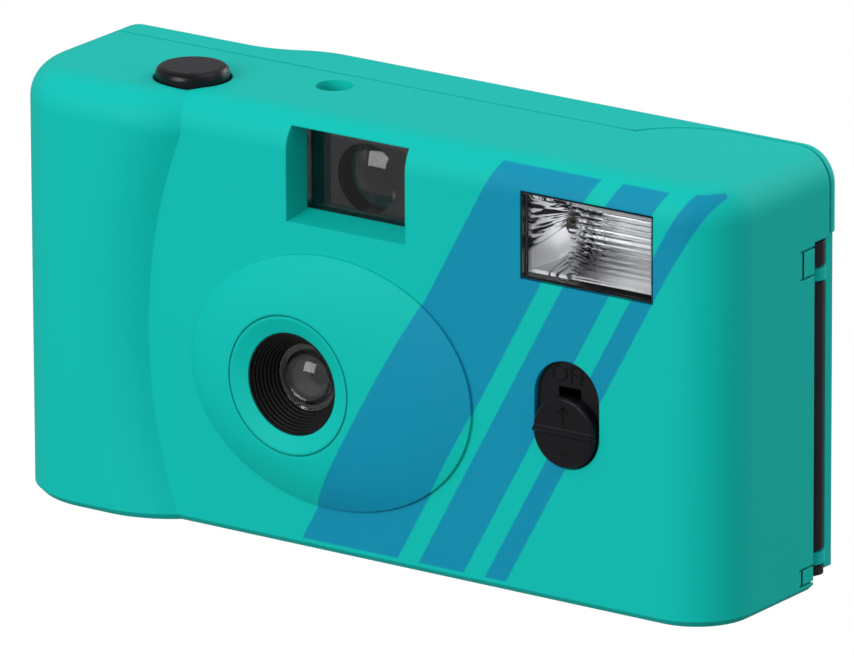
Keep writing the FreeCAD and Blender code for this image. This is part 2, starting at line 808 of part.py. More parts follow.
def flash_window():
    block = flash_hole(-flash_gap, 0.25, flash_glass)
    pitch = (flash_h - 2 * flash_gap - 1.6) / flash_ribs
    z_start = flash_z - flash_h / 2 + flash_gap + 0.8
    x0, x1 = flash_x - flash_w / 2 + 1.0, flash_x + flash_w / 2 - 1.0
    ribs = []
    for i in range(flash_ribs):
        z = z_start + pitch * i
        ribs.append(prism([V(x0, flash_glass - 0.05, z), V(x0, flash_glass - 0.05, z + pitch),
                           V(x0, flash_glass + flash_rib, z + pitch / 2)], V(x1 - x0, 0, 0)))
    return fuse(block, *ribs)


def reflector_form(skin_out):
    """A trough with a flat throat and sloped ends, grown by the skin."""
    w0, h0 = flash_w / 2 - reflector_inset + skin_out, flash_h / 2 - reflector_inset_z + skin_out
    w1, h1 = w0 - reflector_end_slope, reflector_throat_h / 2 + skin_out
    y0 = flash_glass + flash_rib + 0.2
    y1 = y0 + reflector_depth + skin_out

    def ring(w, h, y):
        return flash_x - w, flash_x + w, flash_z - h, flash_z + h, y
    mid_y = y0 + reflector_depth * 0.45
    wm, hm = w0 - reflector_end_slope * 0.45, h0 - (h0 - h1) * 0.24
    return fuse(frustum(ring(w0, h0, y0), ring(wm, hm, mid_y)),
                frustum(ring(wm, hm, mid_y), ring(w1, h1, y1)))


def reflector():
    shell = cut(reflector_form(reflector_skin), reflector_form(0.0))
    y0 = flash_glass + flash_rib + 0.2
    shell = cut(shell, box(-width, width, y0 - 1, y0, 0, height))
    return cut(shell, rod_x(tube_y, flash_z, tube_r + tube_clear, flash_x - flash_w, flash_x + flash_w))


def flash_tube():
    x0, x1 = flash_x - flash_w / 2 + reflector_end_slope / 2 - tube_overhang + 2.4, flash_x + flash_w / 2 - reflector_end_slope / 2 + tube_overhang - 2.4
    return rod_x(tube_y, flash_z, tube_r, x0, x1)


def tube_sleeves():
    x0, x1 = flash_x - flash_w / 2 + 0.2, flash_x + flash_w / 2 - 0.2
    left = rod_x(tube_y, flash_z, sleeve_r, x0 - 1.2, x0 + 1.0)
    right = rod_x(tube_y, flash_z, sleeve_r, x1 - 1.0, x1 + 1.2)
    hole = rod_x(tube_y, flash_z, tube_r + 0.02, x0 - 0.2, x1 + 0.2)
    return Part.makeCompound([cut(left, hole), cut(right, hole)])


# Flash electronics and battery

def circuit_board():
    x0, x1 = finder_x + finder_w / 2 + 2.2, battery_x + battery_r + 0.4
    board = box(x0, x1, board_y, board_y + board_thick, chamber_crown + 0.1, ceiling_z - 0.6)
    return cut(board, rod_x(board_y, ceiling_z, 3.2, x1 - 4.0, x1 + 1))


def capacitor():
    body = rod_x(capacitor_y, capacitor_z, capacitor_r, capacitor_x, capacitor_x + capacitor_len)
    ring = cut(rod_x(capacitor_y, capacitor_z, capacitor_r + 1, capacitor_x + capacitor_len - 2.6,
                     capacitor_x + capacitor_len - 2.0),
               rod_x(capacitor_y, capacitor_z, capacitor_r - 0.35, capacitor_x,
                     capacitor_x + capacitor_len))
    return cut(body, ring)


def trigger_coil():
    x0 = capacitor_x + capacitor_len + 2.0
    y = board_y + board_thick + coil_r + 0.1
    core = rod_x(y, capacitor_z, coil_r - 0.7, x0, x0 + coil_len)
    ends = [rod_x(y, capacitor_z, coil_r, x, x + 0.8) for x in (x0, x0 + coil_len - 0.8)]
    middle = rod_x(y, capacitor_z, coil_r - 0.3, x0 + 1.4, x0 + coil_len - 1.4)
    return fuse(core, middle, *ends)


def ready_lamp():
    return fuse(rod_y(lamp_x, lamp_z, lamp_r, depth - wall - 1.6, depth - 0.3),
                rod_y(lamp_x, lamp_z, lamp_r + 0.5, depth - wall - 2.6, depth - wall - 0.3 - 0.3))


def battery():
    can = rod_z(battery_x, battery_y, battery_r, battery_low, battery_low + battery_len)
    nub = rod_z(battery_x, battery_y, battery_nub_r, battery_low + battery_len,
                battery_low + battery_len + battery_nub)
    return fuse(can, nub)


def battery_contacts():
    high = battery_low + battery_len + battery_nub
    w = battery_r * 0.7
    top = box(battery_x - w, battery_x + w, battery_y - 3.0, battery_y + 3.0, high, high + contact_thick)
    low = battery_low
    bottom = box(battery_x - w, battery_x + w, battery_y - 2.0, battery_y + 2.0, low - contact_thick, low)
    return Part.makeCompound([top, bottom])


def battery_door():
    z0 = 0.2
    r = battery_door_thick / 2.0
    x = battery_x - battery_door_w / 2 + r
    lid = battery_hatch(0.0, z0, z0 + battery_door_thick)
    lid = cut(lid, box(-width, x, -depth, depth, -1, height))
    roll = rod_y(x, z0 + r, r, battery_y - battery_door_l / 2, battery_y + battery_door_l / 2)
    lid = fuse(lid, roll)
    grips = [box(battery_x - 3.5, battery_x + 3.5, battery_y - battery_door_l / 2 + 2.0 + 1.3 * i,
                 battery_y - battery_door_l / 2 + 2.5 + 1.3 * i, z0 - 1, z0 + 0.35) for i in range(4)]
    return cut(lid, *grips)


# Flash switch

def switch_plate():
    """The sunk plate behind the switch's slot."""
    y0 = switch_plate_drop
    face = slot_y(switch_x, switch_z, switch_w - 0.1, switch_travel, y0, wall + 0.1)
    flange = slot_y(switch_x, switch_z, switch_w + 2.0 * switch_plate_rim, switch_travel, wall + 0.1,
                    wall + 0.1 + switch_plate_thick)
    guide = box(switch_x - knob_stem_w / 2 - 0.3, switch_x + knob_stem_w / 2 + 0.3, y0 - 1, depth / 2,
                switch_z - switch_travel / 2 - knob_stem_h / 2 - 0.3, switch_z + switch_travel / 2 + knob_stem_h / 2 + 0.3)
    return cut(fuse(face, flange), guide)


def switch_knob():
    r = switch_w / 2 - knob_clear
    z = switch_z - switch_travel / 2
    y_back = switch_plate_drop - 0.2
    disc = rod_y(switch_x, z, r, -knob_proud, y_back)
    front = [e for e in disc.Edges if abs(e.CenterOfMass.y + knob_proud) < 1e-6 and len(e.Vertexes) == 1]
    disc = disc.makeChamfer(0.3, front)
    side = math.sqrt(r ** 2 - (knob_ridge_h / 2) ** 2) - 0.25
    tip = -knob_proud - knob_ridge
    ridge = prism([V(switch_x - side, -knob_proud + 0.2, z - knob_ridge_h / 2), V(switch_x - side, tip, z),
                   V(switch_x - side, -knob_proud + 0.2, z + knob_ridge_h / 2)], V(2 * side, 0, 0))
    stem = box(switch_x - knob_stem_w / 2, switch_x + knob_stem_w / 2, y_back - 0.1,
               wall + switch_plate_thick + 0.4,
               z - knob_stem_h / 2, z + knob_stem_h / 2)
    head = box(switch_x - knob_stem_w / 2 - 1.2, switch_x + knob_stem_w / 2 + 1.2,
               wall + switch_plate_thick + 0.4,
               wall + switch_plate_thick + 1.2, z - knob_stem_h / 2, z + knob_stem_h / 2)
    return fuse(disc, ridge, stem, head)


# Shutter button and release

def shutter_button():
    r = button_hole_r - button_clear
    z1 = height + button_proud
    z_low = height - button_skirt
    rim = [V(button_x, button_y, z_low), V(button_x + r, button_y, z_low)]
    for step in range(4):
        a = math.radians(30.0 * step)
        rim.append(V(button_x + r - button_edge * (1.0 - math.cos(a)), button_y,
                     z1 - button_edge * (1.0 - math.sin(a))))
    rim.append(V(button_x, button_y, z1))
    cap = Part.Face(Part.makePolygon(rim + [rim[0]])).revolve(V(button_x, button_y, 0), V(0, 0, 1), 360)
    hollow = rod_z(button_x, button_y, r - 1.0, height - button_skirt - 1, height - 1.0)
    stem = rod_z(button_x, button_y, button_stem_r, button_stem_low, height)
    return fuse(cut(cap, hollow), stem)


def button_guide():
    """A bracket under the top that guides the button's stem and carries its spring."""
    x0 = button_x - 4.6
    y0, y1 = button_y - 5.4, button_y + 4.0
    plate = box(x0, button_x + 4.6, y0, y1, guide_z, guide_z + guide_thick)
    leg = box(button_x - 2.5, button_x + 4.6, y0, y0 + 1.2, button_stem_low - 6.0, guide_z + 0.1)
    return cut(fuse(plate, leg), rod_z(button_x, button_y, button_stem_r + guide_clear, 0, 2 * height))


def button_spring():
    """Coil round the stem, between the guide and the button."""
    r, wire_r = button_stem_r + 0.9, 0.22
    z0, z1 = guide_z + guide_thick + wire_r + 0.02, height - 1.0 - wire_r - 0.05
    turns = 3.0
    helix = Part.makeHelix((z1 - z0) / turns, z1 - z0, r)
    helix.translate(V(button_x, button_y, z0))
    x = button_x + r
    corners = [V(x - wire_r, button_y, z0 - wire_r), V(x + wire_r, button_y, z0 - wire_r),
               V(x + wire_r, button_y, z0 + wire_r), V(x - wire_r, button_y, z0 + wire_r)]
    ring = Part.makePolygon(corners + [corners[0]])
    return Part.Wire(helix.Edges).makePipeShell([ring], True, True)


def release_lever():
    """A rocking lever: one end lies under the button's stem, the other reaches the shutter."""
    y0, y1 = lever_y, lever_y + lever_thick
    hub = rod_y(lever_x, lever_z, lever_hub_r, y0, y1)
    z_top = button_stem_low - button_rest_gap
    left = prism([V(button_x - 1.8, y0, z_top - lever_arm_h), V(button_x - 1.8, y0, z_top),
                  V(button_x + 1.8, y0, z_top),
                  V(lever_x, y0, lever_z + lever_hub_r), V(lever_x, y0, lever_z - 0.5), V(button_x + 1.8,
                                                                                          y0, z_top - lever_arm_h)],
                 V(0, lever_thick, 0))
    foot_x, foot_z = lever_x + 8.0, lever_z - lever_tail
    right = prism([V(lever_x, y0, lever_z + 1.6), V(foot_x + 1.2, y0, foot_z + 1.2),
                   V(foot_x, y0, foot_z - 0.6), V(lever_x, y0, lever_z - 1.6)],
                  V(0, lever_thick, 0))
    return cut(fuse(hub, left, right), rod_y(lever_x, lever_z, lever_pin_r + 0.05, y0 - 1, y1 + 1))


def lever_post():
    """The post that the release lever rocks on, standing on the light box."""
    pin = rod_y(lever_x, lever_z, lever_pin_r, lever_y - 0.6, lever_y + lever_thick + 1.0)
    foot = rod_y(lever_x, lever_z, lever_pin_r + 1.0, lever_y + lever_thick + 0.3, deck_y)
    return fuse(pin, foot)


# Film counter

def counter_dial():
    """A toothed disc; each turn of the sprocket moves it on by one tooth."""
    disc = rod_z(dial_x, counter_y, dial_r - dial_tooth, dial_z, dial_z + dial_thick)
    teeth = []
    root, tip = dial_r - dial_tooth - 0.2, dial_r
    half_pitch = math.pi / dial_teeth
    for i in range(dial_teeth):
        a = 2 * half_pitch * i

        def at(r, angle):
            return V(dial_x + r * math.cos(angle), counter_y + r * math.sin(angle), dial_z)
        teeth.append(prism([at(root, a - half_pitch * 0.7), at(tip, a + half_pitch * 0.2),
                            at(root, a + half_pitch * 0.7)], V(0, 0, dial_thick)))
    hub = rod_z(dial_x, counter_y, dial_post_r + 0.8, dial_z - 1.0, dial_z + dial_thick)
    return cut(fuse(disc, hub, *teeth), rod_z(dial_x, counter_y, dial_post_r + 0.05, 0, 2 * height))


def counter_post():
    """The bridge with the dial's post."""
    post = rod_z(dial_x, counter_y, dial_post_r, chamber_top + 1.25, dial_z + dial_thick + 0.3)
    shoulder = rod_z(dial_x, counter_y, dial_post_r + 1.2, chamber_top + 1.25, dial_z - 1.1)
    return fuse(post, shoulder)


# Film path

def light_box():
    """The dark chamber from the shutter to the film gate, its deck and the gate's rails."""
    y0, y1 = barrel_back_y + 0.2, film_y - gate_thick

    def ring(w, h, y):
        return lens_x - w, lens_x + w, lens_z - h, lens_z + h, y
    s = box_skin
    near = image_r
    outer = frustum(ring(near + s, near + s, y0), ring(gate_w / 2 + s, gate_h / 2 + s, y1))
    inner = frustum(ring(near, near, y0), ring(gate_w / 2, gate_h / 2, y1))
    plate = box(gate_x0 - 1.4, gate_x1 + 1.2, y1 - 0.2, y1 + gate_thick, floor_z + 0.1, chamber_top + 1.2)
    flange = rod_y(lens_x, lens_z, trim_r, y0, y0 + 1.0)
    rails = [box(gate_x0 - 1.4, gate_x1 + 1.2, y1 + gate_thick - 0.1, film_y + 0.1, z, z + 1.2)
             for z in (lens_z - film_h / 2 - 1.5, lens_z + film_h / 2 + 0.3)]
    deck = box(lever_x - 3.0, gate_x1 + 1.2, deck_y, y1, chamber_top, chamber_top + 1.2)
    gate = box(gate_x0, gate_x1, y1 - 1.0, y1 + gate_thick + 1.0, lens_z - gate_h / 2, lens_z + gate_h / 2)
    body = fuse(outer, plate, flange, deck, *rails)
    return cut(body, inner, gate, rod_y(lens_x, lens_z, image_r, y0 - 1.0, y0 + 1.5))


def cassette_chamber():
    """The half-round chamber that holds the film cassette, open at the back."""
    r, s = cassette_r, cassette_skin
    back = film_y - 0.2
    low, high = chamber_low, chamber_top
    outer = fuse(rod_z(cassette_x, cassette_y, r + s, low, chamber_crown),
                 box(cassette_x - r - s, cassette_x + r + s, cassette_y, back, low, chamber_crown))
    inner = fuse(rod_z(cassette_x, cassette_y, r, low + chamber_floor, high),
                 box(cassette_x - r, cassette_x + r, cassette_y, depth, low + chamber_floor, high))
    chamber = cut(outer, inner, box(-width, width, back, depth, -1, height))
    fork_hole = rod_z(cassette_x, cassette_y, fork_r + 0.25, -1, low + chamber_floor + 1)
    return cut(chamber, fork_hole, reflector_form(reflector_skin + 0.12))


def take_up_frame():
    """End plates for the spool and the sprocket, joined by a front wall."""
    x0, x1 = -inner_half + 0.4, gate_x0 - 1.7
    y0, y1 = spool_y - spool_flange_r - 1.6, film_y - 1.2
    low = box(x0, x1, y0, y1, floor_z + 0.3, floor_z + 1.7)
    high = box(x0, x1, y0, y1, chamber_top - 1.0, chamber_top + 0.4)
    side = box(x0, x1, y0, y0 + 1.0, floor_z + 0.3, chamber_top + 0.4)
    frame = fuse(low, high, side)
    holes = [rod_z(spool_x, spool_y, spool_shaft_r + 0.05, 0, height),
             rod_z(sprocket_x, sprocket_y, sprocket_shaft_r + 0.05, 0, height)]
    corner = cut(box(x0 - 1, x0 + front_corner - wall, y0 - 1, y0 + front_corner - wall, -1, height),
                 rod_z(x0 + front_corner - wall, y0 + front_corner - wall, front_corner - wall, -1, height))
    return cut(frame, corner, *holes)


def take_up_spool():
    core = rod_z(spool_x, spool_y, spool_core_r, spool_low, spool_high)
    flanges = [rod_z(spool_x, spool_y, spool_flange_r, z, z + spool_flange) for z in (spool_low,
                                                                                      spool_high - spool_flange)]
    shaft = rod_z(spool_x, spool_y, spool_shaft_r, floor_z + 0.5, wheel_z)
    slots = [box(spool_x - 0.5, spool_x + 0.5, spool_y - 2 * spool_core_r, spool_y + 2 * spool_core_r,
                 spool_low + 8, spool_high - 8)]
    slots = [s.common(rod_z(spool_x, spool_y, spool_core_r + 1, 0, height)) for s in slots]
    ring = cut(slots[0], rod_z(spool_x, spool_y, spool_core_r - spool_slot, 0, height))
    return cut(fuse(core, shaft, *flanges), ring)


def advance_wheel():
    wheel = rod_z(spool_x, spool_y, wheel_r, wheel_z + 0.01, wheel_z + wheel_thick)
    notches = []
    for i in range(wheel_notches):
        a = 2 * math.pi * i / wheel_notches
        x, y = spool_x + wheel_r * math.cos(a), spool_y + wheel_r * math.sin(a)
        p = [V(x + wheel_notch_r * math.cos(a + t), y + wheel_notch_r * math.sin(a + t),
               wheel_z - 1) for t in (math.pi / 2, math.pi, 3 * math.pi / 2)]
        q = V(x + 2 * math.cos(a), y + 2 * math.sin(a), wheel_z - 1)
        notches.append(prism([p[0], p[1], p[2], q], V(0, 0, wheel_thick + 2)))
    hollow = rod_z(spool_x, spool_y, wheel_r - 2.6, wheel_z + 1.4, wheel_z + wheel_thick + 1)
    hub = rod_z(spool_x, spool_y, spool_shaft_r + 1.2, wheel_z + 0.01, wheel_z + wheel_thick)
    return fuse(cut(wheel, hollow, *notches), hub)


def film_sprocket():
    """The toothed shaft that the film's holes turn. Its top finger moves the counter."""
    shaft = fuse(rod_z(sprocket_x, sprocket_y, sprocket_shaft_r, floor_z + 0.5, chamber_top + 2.0),
                 rod_z(sprocket_x, sprocket_y, finger_shaft_r, chamber_top + 1.9, dial_z + 0.8))
    discs = []
    for z in (lens_z - film_h / 2 + 1.2, lens_z + film_h / 2 - 1.2 - sprocket_disc):
        disc = rod_z(sprocket_x, sprocket_y, sprocket_r, z, z + sprocket_disc)
        discs.append(disc)
        for i in range(sprocket_teeth):
            a = 2 * math.pi * (i + 0.5) / sprocket_teeth
            ux, uy = math.cos(a), math.sin(a)
            px, py = sprocket_x + (sprocket_r - 0.3) * ux, sprocket_y + (sprocket_r - 0.3) * uy
            tip_x, tip_y = sprocket_x + (sprocket_r + sprocket_tooth) * ux, sprocket_y + (sprocket_r
                                                                                          + sprocket_tooth) * uy
            w, t = 0.7, 0.35
            pts = [V(px - uy * w, py + ux * w, z + 0.3), V(tip_x - uy * t, tip_y + ux * t, z + 0.3),
                   V(tip_x + uy * t, tip_y - ux * t, z + 0.3), V(px + uy * w, py - ux * w, z + 0.3)]
            discs.append(prism(pts, V(0, 0, sprocket_disc - 0.6)))
    finger = box(sprocket_x - finger_reach, sprocket_x, sprocket_y - 0.5, sprocket_y + 0.5, dial_z,
                 dial_z + 0.8)
    drum = rod_z(sprocket_x, sprocket_y, sprocket_shaft_r + 0.9, lens_z - film_h / 2 + 1.2,
                 lens_z + film_h / 2 - 1.2)
    return fuse(shaft, drum, finger, *discs)


# Rewind

def rewind_knob():
    """The round plate in the bottom that carries the crank, with the fork that turns the cassette."""
    z0, z1 = crank_drop, crank_drop + crank_thick
    disc = rod_z(cassette_x, cassette_y, crank_r, z0, z1)
    x0 = cassette_x - crank_r + 1.4
    well = box(x0, cassette_x + 2 * crank_r, cassette_y - crank_arm_w / 2 - 0.3,
               cassette_y + crank_arm_w / 2 + 0.3, -1, z0 + crank_well)
    shaft = rod_z(cassette_x, cassette_y, fork_r, z1 - 0.5, fork_high - 3.2)
    fork = box(cassette_x - fork_r, cassette_x + fork_r, cassette_y - 0.45, cassette_y + 0.45,
               fork_high - 3.4, fork_high)
    split = box(cassette_x - 0.8, cassette_x + 0.8, cassette_y - 2, cassette_y + 2, fork_high - 2.6,
                fork_high + 1)
    pin_x = x0 + 1.3
    knob = cut(fuse(disc, shaft, fork), well, split)
    ears = [box(x0 - 0.1,
                pin_x + 0.9, cassette_y + s * (crank_arm_w / 2
                                               + 0.3) - (0.0
                                                         if s > 0 else 0.3), cassette_y + s * (crank_arm_w / 2 + 0.3) + (0.3 if s > 0 else 0.0), z0 + 0.05, z0 + crank_well) for s in (-1, 1)]
    pin_hole = rod_y(pin_x, crank_pin_z(), crank_pin_r + 0.03, cassette_y - crank_arm_w / 2 - 1.2,
                     cassette_y + crank_arm_w / 2 + 1.2)
    return cut(fuse(knob, *ears), pin_hole)


def crank_pin_z():
    return crank_drop + crank_well / 2 + 0.02


def crank_pin_x():
    return cassette_x - crank_r + 1.4 + 1.3


def crank_arm():
    """The crank that folds out of the round plate, with its finger stub."""
    z = crank_pin_z()
    x0 = crank_pin_x()
    w = crank_arm_w / 2
    t = crank_arm_thick / 2
    arm = box(x0, x0 + crank_arm_len - 1.6, cassette_y - w, cassette_y + w, z - t, z + t)
    eye = rod_y(x0, z, t, cassette_y - w, cassette_y + w)
    tip = rod_z(x0 + crank_arm_len - 1.6, cassette_y, w, z - t, z + t)
    pin = rod_y(x0, z, crank_pin_r - 0.05, cassette_y - w - 1.0, cassette_y + w + 1.0)
    return fuse(arm, eye, tip, pin)


def release_pin():
    z0 = 0.25
    stem = rod_z(release_x, release_y, release_r, z0, z0 + release_len)
    collar = rod_z(release_x, release_y, release_r + 1.0, floor_z + 0.2, floor_z + 1.0)
    return fuse(stem, collar)


# Latch

def door_latch():
    x0 = -half + latch_drop
    pad = box(x0, x0 + latch_thick, latch_y - latch_w / 2, latch_y + latch_w / 2, latch_z - latch_h / 2,
              latch_z + latch_h / 2)
    pitch = (latch_h - 3.0) / latch_ribs
    grooves = [box(x0 - 1, x0 + 0.35, latch_y - latch_w / 2 - 1, latch_y + latch_w / 2 + 1,
                   latch_z - latch_h / 2 + 1.5 + pitch * (i
                                                          + 0.25), latch_z - latch_h / 2 + 1.5 + pitch * (i + 0.75)) for i in range(latch_ribs)]
    neck = box(x0 + latch_thick - 0.1, -inner_half + 0.3, latch_y - 1.0, latch_y + 1.0, latch_z - 2.0,
               latch_z + 2.0)
    bar = box(-inner_half + 0.25, -inner_half + 1.25, latch_y - 2.0, seam_y + 1.4, latch_z - 2.0,
              latch_z + 2.0)
    hook = box(-inner_half + 0.25, -inner_half + 1.25, seam_y + 1.3, seam_y + 2.4, latch_z - 2.0,
               latch_z + 4.0)
    return fuse(cut(pad, *grooves), neck, bar, hook)


def chassis_screws():
    """Self-tapping screws, heads outward, that hold the light box and the chambers."""
    places = [(x, z) for z in (screw_low_z, screw_high_z) for x in (gate_x0 + 4.0, gate_x1 - 3.0)]
    screws = []
    y1 = film_y
    for x, z in places:
        head = rod_y(x, z, screw_head_r, y1 + 0.02, y1 + 0.02 + screw_head)
        cross = fuse(box(x - 0.9, x + 0.9, y1 + 0.5, y1 + 2, z - 0.2, z + 0.2),
                     box(x - 0.2, x + 0.2, y1 + 0.5, y1 + 2, z - 0.9, z + 0.9))
        screws.append(cut(head, cross))
    return Part.makeCompound(screws)


PIECES = {
    "front_shell": front_shell,
    "rear_cover": rear_cover,
    "film_door": film_door,
    "pressure_plate": pressure_plate,
    "plate_springs": plate_springs,
    "hinge_pin": hinge_pin,
    "hinge_post": hinge_post,
    "lens_trim_ring": trim_ring,
    "lens_barrel": lens_barrel,
    "front_lens": front_lens,
    "aperture_plate": aperture_plate,
    "shutter_blade": shutter_blade,
    "shutter_plate": shutter_plate,
    "finder_front_lens": finder_front_lens,
    "finder_tunnel": finder_tunnel,
    "finder_eyepiece": eyepiece,
    "flash_window": flash_window,
    "flash_reflector": reflector,
    "flash_tube": flash_tube,
    "tube_sleeves": tube_sleeves,
    "circuit_board": circuit_board,
    "flash_capacitor": capacitor,
    "trigger_coil": trigger_coil,
    "ready_lamp": ready_lamp,
    "battery": battery,
    "battery_contacts": battery_contacts,
    "battery_door": battery_door,
    "switch_plate": switch_plate,
    "switch_knob": switch_knob,
    "shutter_button": shutter_button,
    "button_guide": button_guide,
    "button_spring": button_spring,
    "release_lever": release_lever,
    "lever_post": lever_post,
    "counter_dial": counter_dial,
    "counter_post": counter_post,
    "light_box": light_box,
    "cassette_chamber": cassette_chamber,
    "take_up_frame": take_up_frame,
    "take_up_spool": take_up_spool,
    "advance_wheel": advance_wheel,
    "film_sprocket": film_sprocket,
    "rewind_knob": rewind_knob,
    "crank_arm": crank_arm,
    "release_pin": release_pin,
    "door_latch": door_latch,
    "chassis_screws": chassis_screws,
}


def main():
    os.makedirs(PARTS, exist_ok=True)
    for name, make in PIECES.items():
        shape = make()
        shape.translate(V(0, -centre_y, 0))
        solids = len(shape.Solids)
        box_ = shape.BoundBox
        print("%-18s solids %d valid %s faces %4d vol %9.2f  x %.2f %.2f  y %.2f %.2f  z %.2f %.2f" % (
            name, solids, shape.isValid(), len(shape.Faces), shape.Volume,
            box_.XMin, box_.XMax, box_.YMin, box_.YMax, box_.ZMin, box_.ZMax))
        shape.exportStep(os.path.join(PARTS, name + ".step"))


main()
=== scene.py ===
# %% [markdown]
# # Compact film camera
# The camera is a teal plastic body with an oval lens boss, a flash and a slide switch. Its solids come
# packed in a frame. This lesson gives them their finishes, adds the small pieces that the solids leave
# out, and sets the photograph's view and light. The frame is in metres. Sizes named here are in mm, with
# depths counted from the front plane, unless a line says otherwise.
# %% Load the solids
import bpy
import math
from mathutils import Matrix, Vector


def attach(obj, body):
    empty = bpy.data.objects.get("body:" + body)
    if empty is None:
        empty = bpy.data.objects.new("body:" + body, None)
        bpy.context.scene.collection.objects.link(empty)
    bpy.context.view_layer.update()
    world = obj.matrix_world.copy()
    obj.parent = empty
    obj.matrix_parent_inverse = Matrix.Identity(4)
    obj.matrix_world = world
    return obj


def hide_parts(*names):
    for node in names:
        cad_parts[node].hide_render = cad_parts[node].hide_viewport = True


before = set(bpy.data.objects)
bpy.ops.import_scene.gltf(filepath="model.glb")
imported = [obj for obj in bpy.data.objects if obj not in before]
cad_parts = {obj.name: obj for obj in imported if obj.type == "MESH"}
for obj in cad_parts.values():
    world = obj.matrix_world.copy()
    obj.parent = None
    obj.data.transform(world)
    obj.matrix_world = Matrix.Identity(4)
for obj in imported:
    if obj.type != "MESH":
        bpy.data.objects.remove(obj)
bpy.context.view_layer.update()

MM = 0.001
CENTRE_Y = 13.25   # depth of the frame's origin behind the front plane


def row(x, y, z):
    """A point given in mm from the front plane, in the frame's metres."""
    return Vector((x * MM, (y - CENTRE_Y) * MM, z * MM))


print("nodes loaded:", len(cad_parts))

# %% [markdown]
# ## Wiring nodes
# A finish is a net of shader nodes. By hand, each node is added from a menu and its sockets are joined
# with the mouse. Here one helper adds a node and fills its inputs, so that a net reads like a sentence.
# %% Helpers that add and join nodes


def socket(tree, item, value):
    """Joins a node's output to an input, or writes a constant on it."""
    if isinstance(value, bpy.types.NodeSocket):
        tree.links.new(value, item)
    else:
        item.default_value = value


def add_node(tree, kind, settings=None, **inputs):
    """A node with its settings and inputs. An input is named, or i0, i1 and so on for its place."""
    made = tree.nodes.new(kind)
    for name, value in (settings or {}).items():
        setattr(made, name, value)
    for name, value in inputs.items():
        key = int(name[1:]) if name[0] == "i" and name[1:].isdigit() else name.replace("_", " ")
        socket(tree, made.inputs[key], value)
    return made


# %% [markdown]
# ## Sums on values
# Math nodes do the sums that a pattern needs. As short functions they can be put inside each other, so a
# long net of Math nodes stays as readable as the sum that it stands for.
# %% Helpers for sums


def maths(tree, operation, a, b=0.0, clamp=False):
    made = tree.nodes.new("ShaderNodeMath")
    made.operation = operation
    made.use_clamp = clamp
    for item, value in zip(made.inputs, (a, b)):
        socket(tree, item, value)
    return made.outputs[0]


def times(tree, first, *more):
    for value in more:
        first = maths(tree, "MULTIPLY", first, value)
    return first


def plus(tree, first, *more):
    for value in more:
        first = maths(tree, "ADD", first, value)
    return first


def over(tree, a, b):
    return maths(tree, "DIVIDE", a, b)


def vectors(tree, operation, **inputs):
    return add_node(tree, "ShaderNodeVectorMath", {"operation": operation}, **inputs).outputs[0]


# %% [markdown]
# ## Colours, ramps and noise
# A ramp is a soft step from 0 to 1, a mix lays one colour over another by such a step, and noise breaks
# up what would look too even. Colours are written as a screen shows them, from 0 to 255, and turned into
# the linear values that Blender's light works with.
# %% Helpers for colours, ramps and noise


def mix_colour(tree, factor, a, b):
    made = tree.nodes.new("ShaderNodeMix")
    made.data_type = "RGBA"
    socket(tree, made.inputs[0], factor)
    socket(tree, made.inputs[6], a)
    socket(tree, made.inputs[7], b)
    return made.outputs[2]


def ramp(tree, value, low, high):
    """0 at low, 1 at high, and held there beyond them. High may be the smaller."""
    made = add_node(tree, "ShaderNodeMapRange", {"clamp": True}, Value=value)
    socket(tree, made.inputs["From Min"], low)
    socket(tree, made.inputs["From Max"], high)
    return made.outputs[0]


def noise(tree, place, scale, **inputs):
    return add_node(tree, "ShaderNodeTexNoise", Vector=place, Scale=scale, **inputs).outputs[0]


def linear(r, g, b):
    """An sRGB colour, 0 to 255, as linear values."""
    def one(v):
        v /= 255.0
        return v / 12.92 if v <= 0.04045 else ((v + 0.055) / 1.055) ** 2.4
    return (one(r), one(g), one(b), 1.0)


# %% [markdown]
# ## Places and directions
# Every pattern reads the object's own coordinates. It then stays on its piece when the piece turns or
# slides on its joint, which a pattern fixed in the room wouldn't do.
# %% Helpers for places and directions


def object_place(tree):
    return add_node(tree, "ShaderNodeTexCoord").outputs["Object"]


def object_normal(tree):
    return add_node(tree, "ShaderNodeTexCoord").outputs["Normal"]


def shading_normal(tree):
    return add_node(tree, "ShaderNodeNewGeometry").outputs["Normal"]


def split(tree, vector):
    return add_node(tree, "ShaderNodeSeparateXYZ", Vector=vector).outputs


def place_mm(tree):
    """The point's x, y and z in mm, along the frame's axes."""
    return [over(tree, value, MM) for value in split(tree, object_place(tree))]


# %% [markdown]
# ## Groups
# An effect that several finishes share is one node group with named sockets. It is built once, and each
# finish places it with its own values, so that a change in one place reaches them all.
# %% Helpers for groups
FLOAT, COLOUR, VECTOR = "NodeSocketFloat", "NodeSocketColor", "NodeSocketVector"


def new_group(name, inputs, outputs):
    tree = bpy.data.node_groups.new(name, "ShaderNodeTree")
    for label, kind, value in inputs:
        made = tree.interface.new_socket(label, in_out="INPUT", socket_type=kind)
        if value is not None:
            made.default_value = value
    for label, kind in outputs:
        tree.interface.new_socket(label, in_out="OUTPUT", socket_type=kind)
    given = tree.nodes.new("NodeGroupInput").outputs
    out = tree.nodes.new("NodeGroupOutput").inputs
    return tree, given, out


def use_group(tree, group, **inputs):
    made = tree.nodes.new("ShaderNodeGroup")
    made.node_tree = group
    for name, value in inputs.items():
        socket(tree, made.inputs[name.replace("_", " ")], value)
    return made.outputs


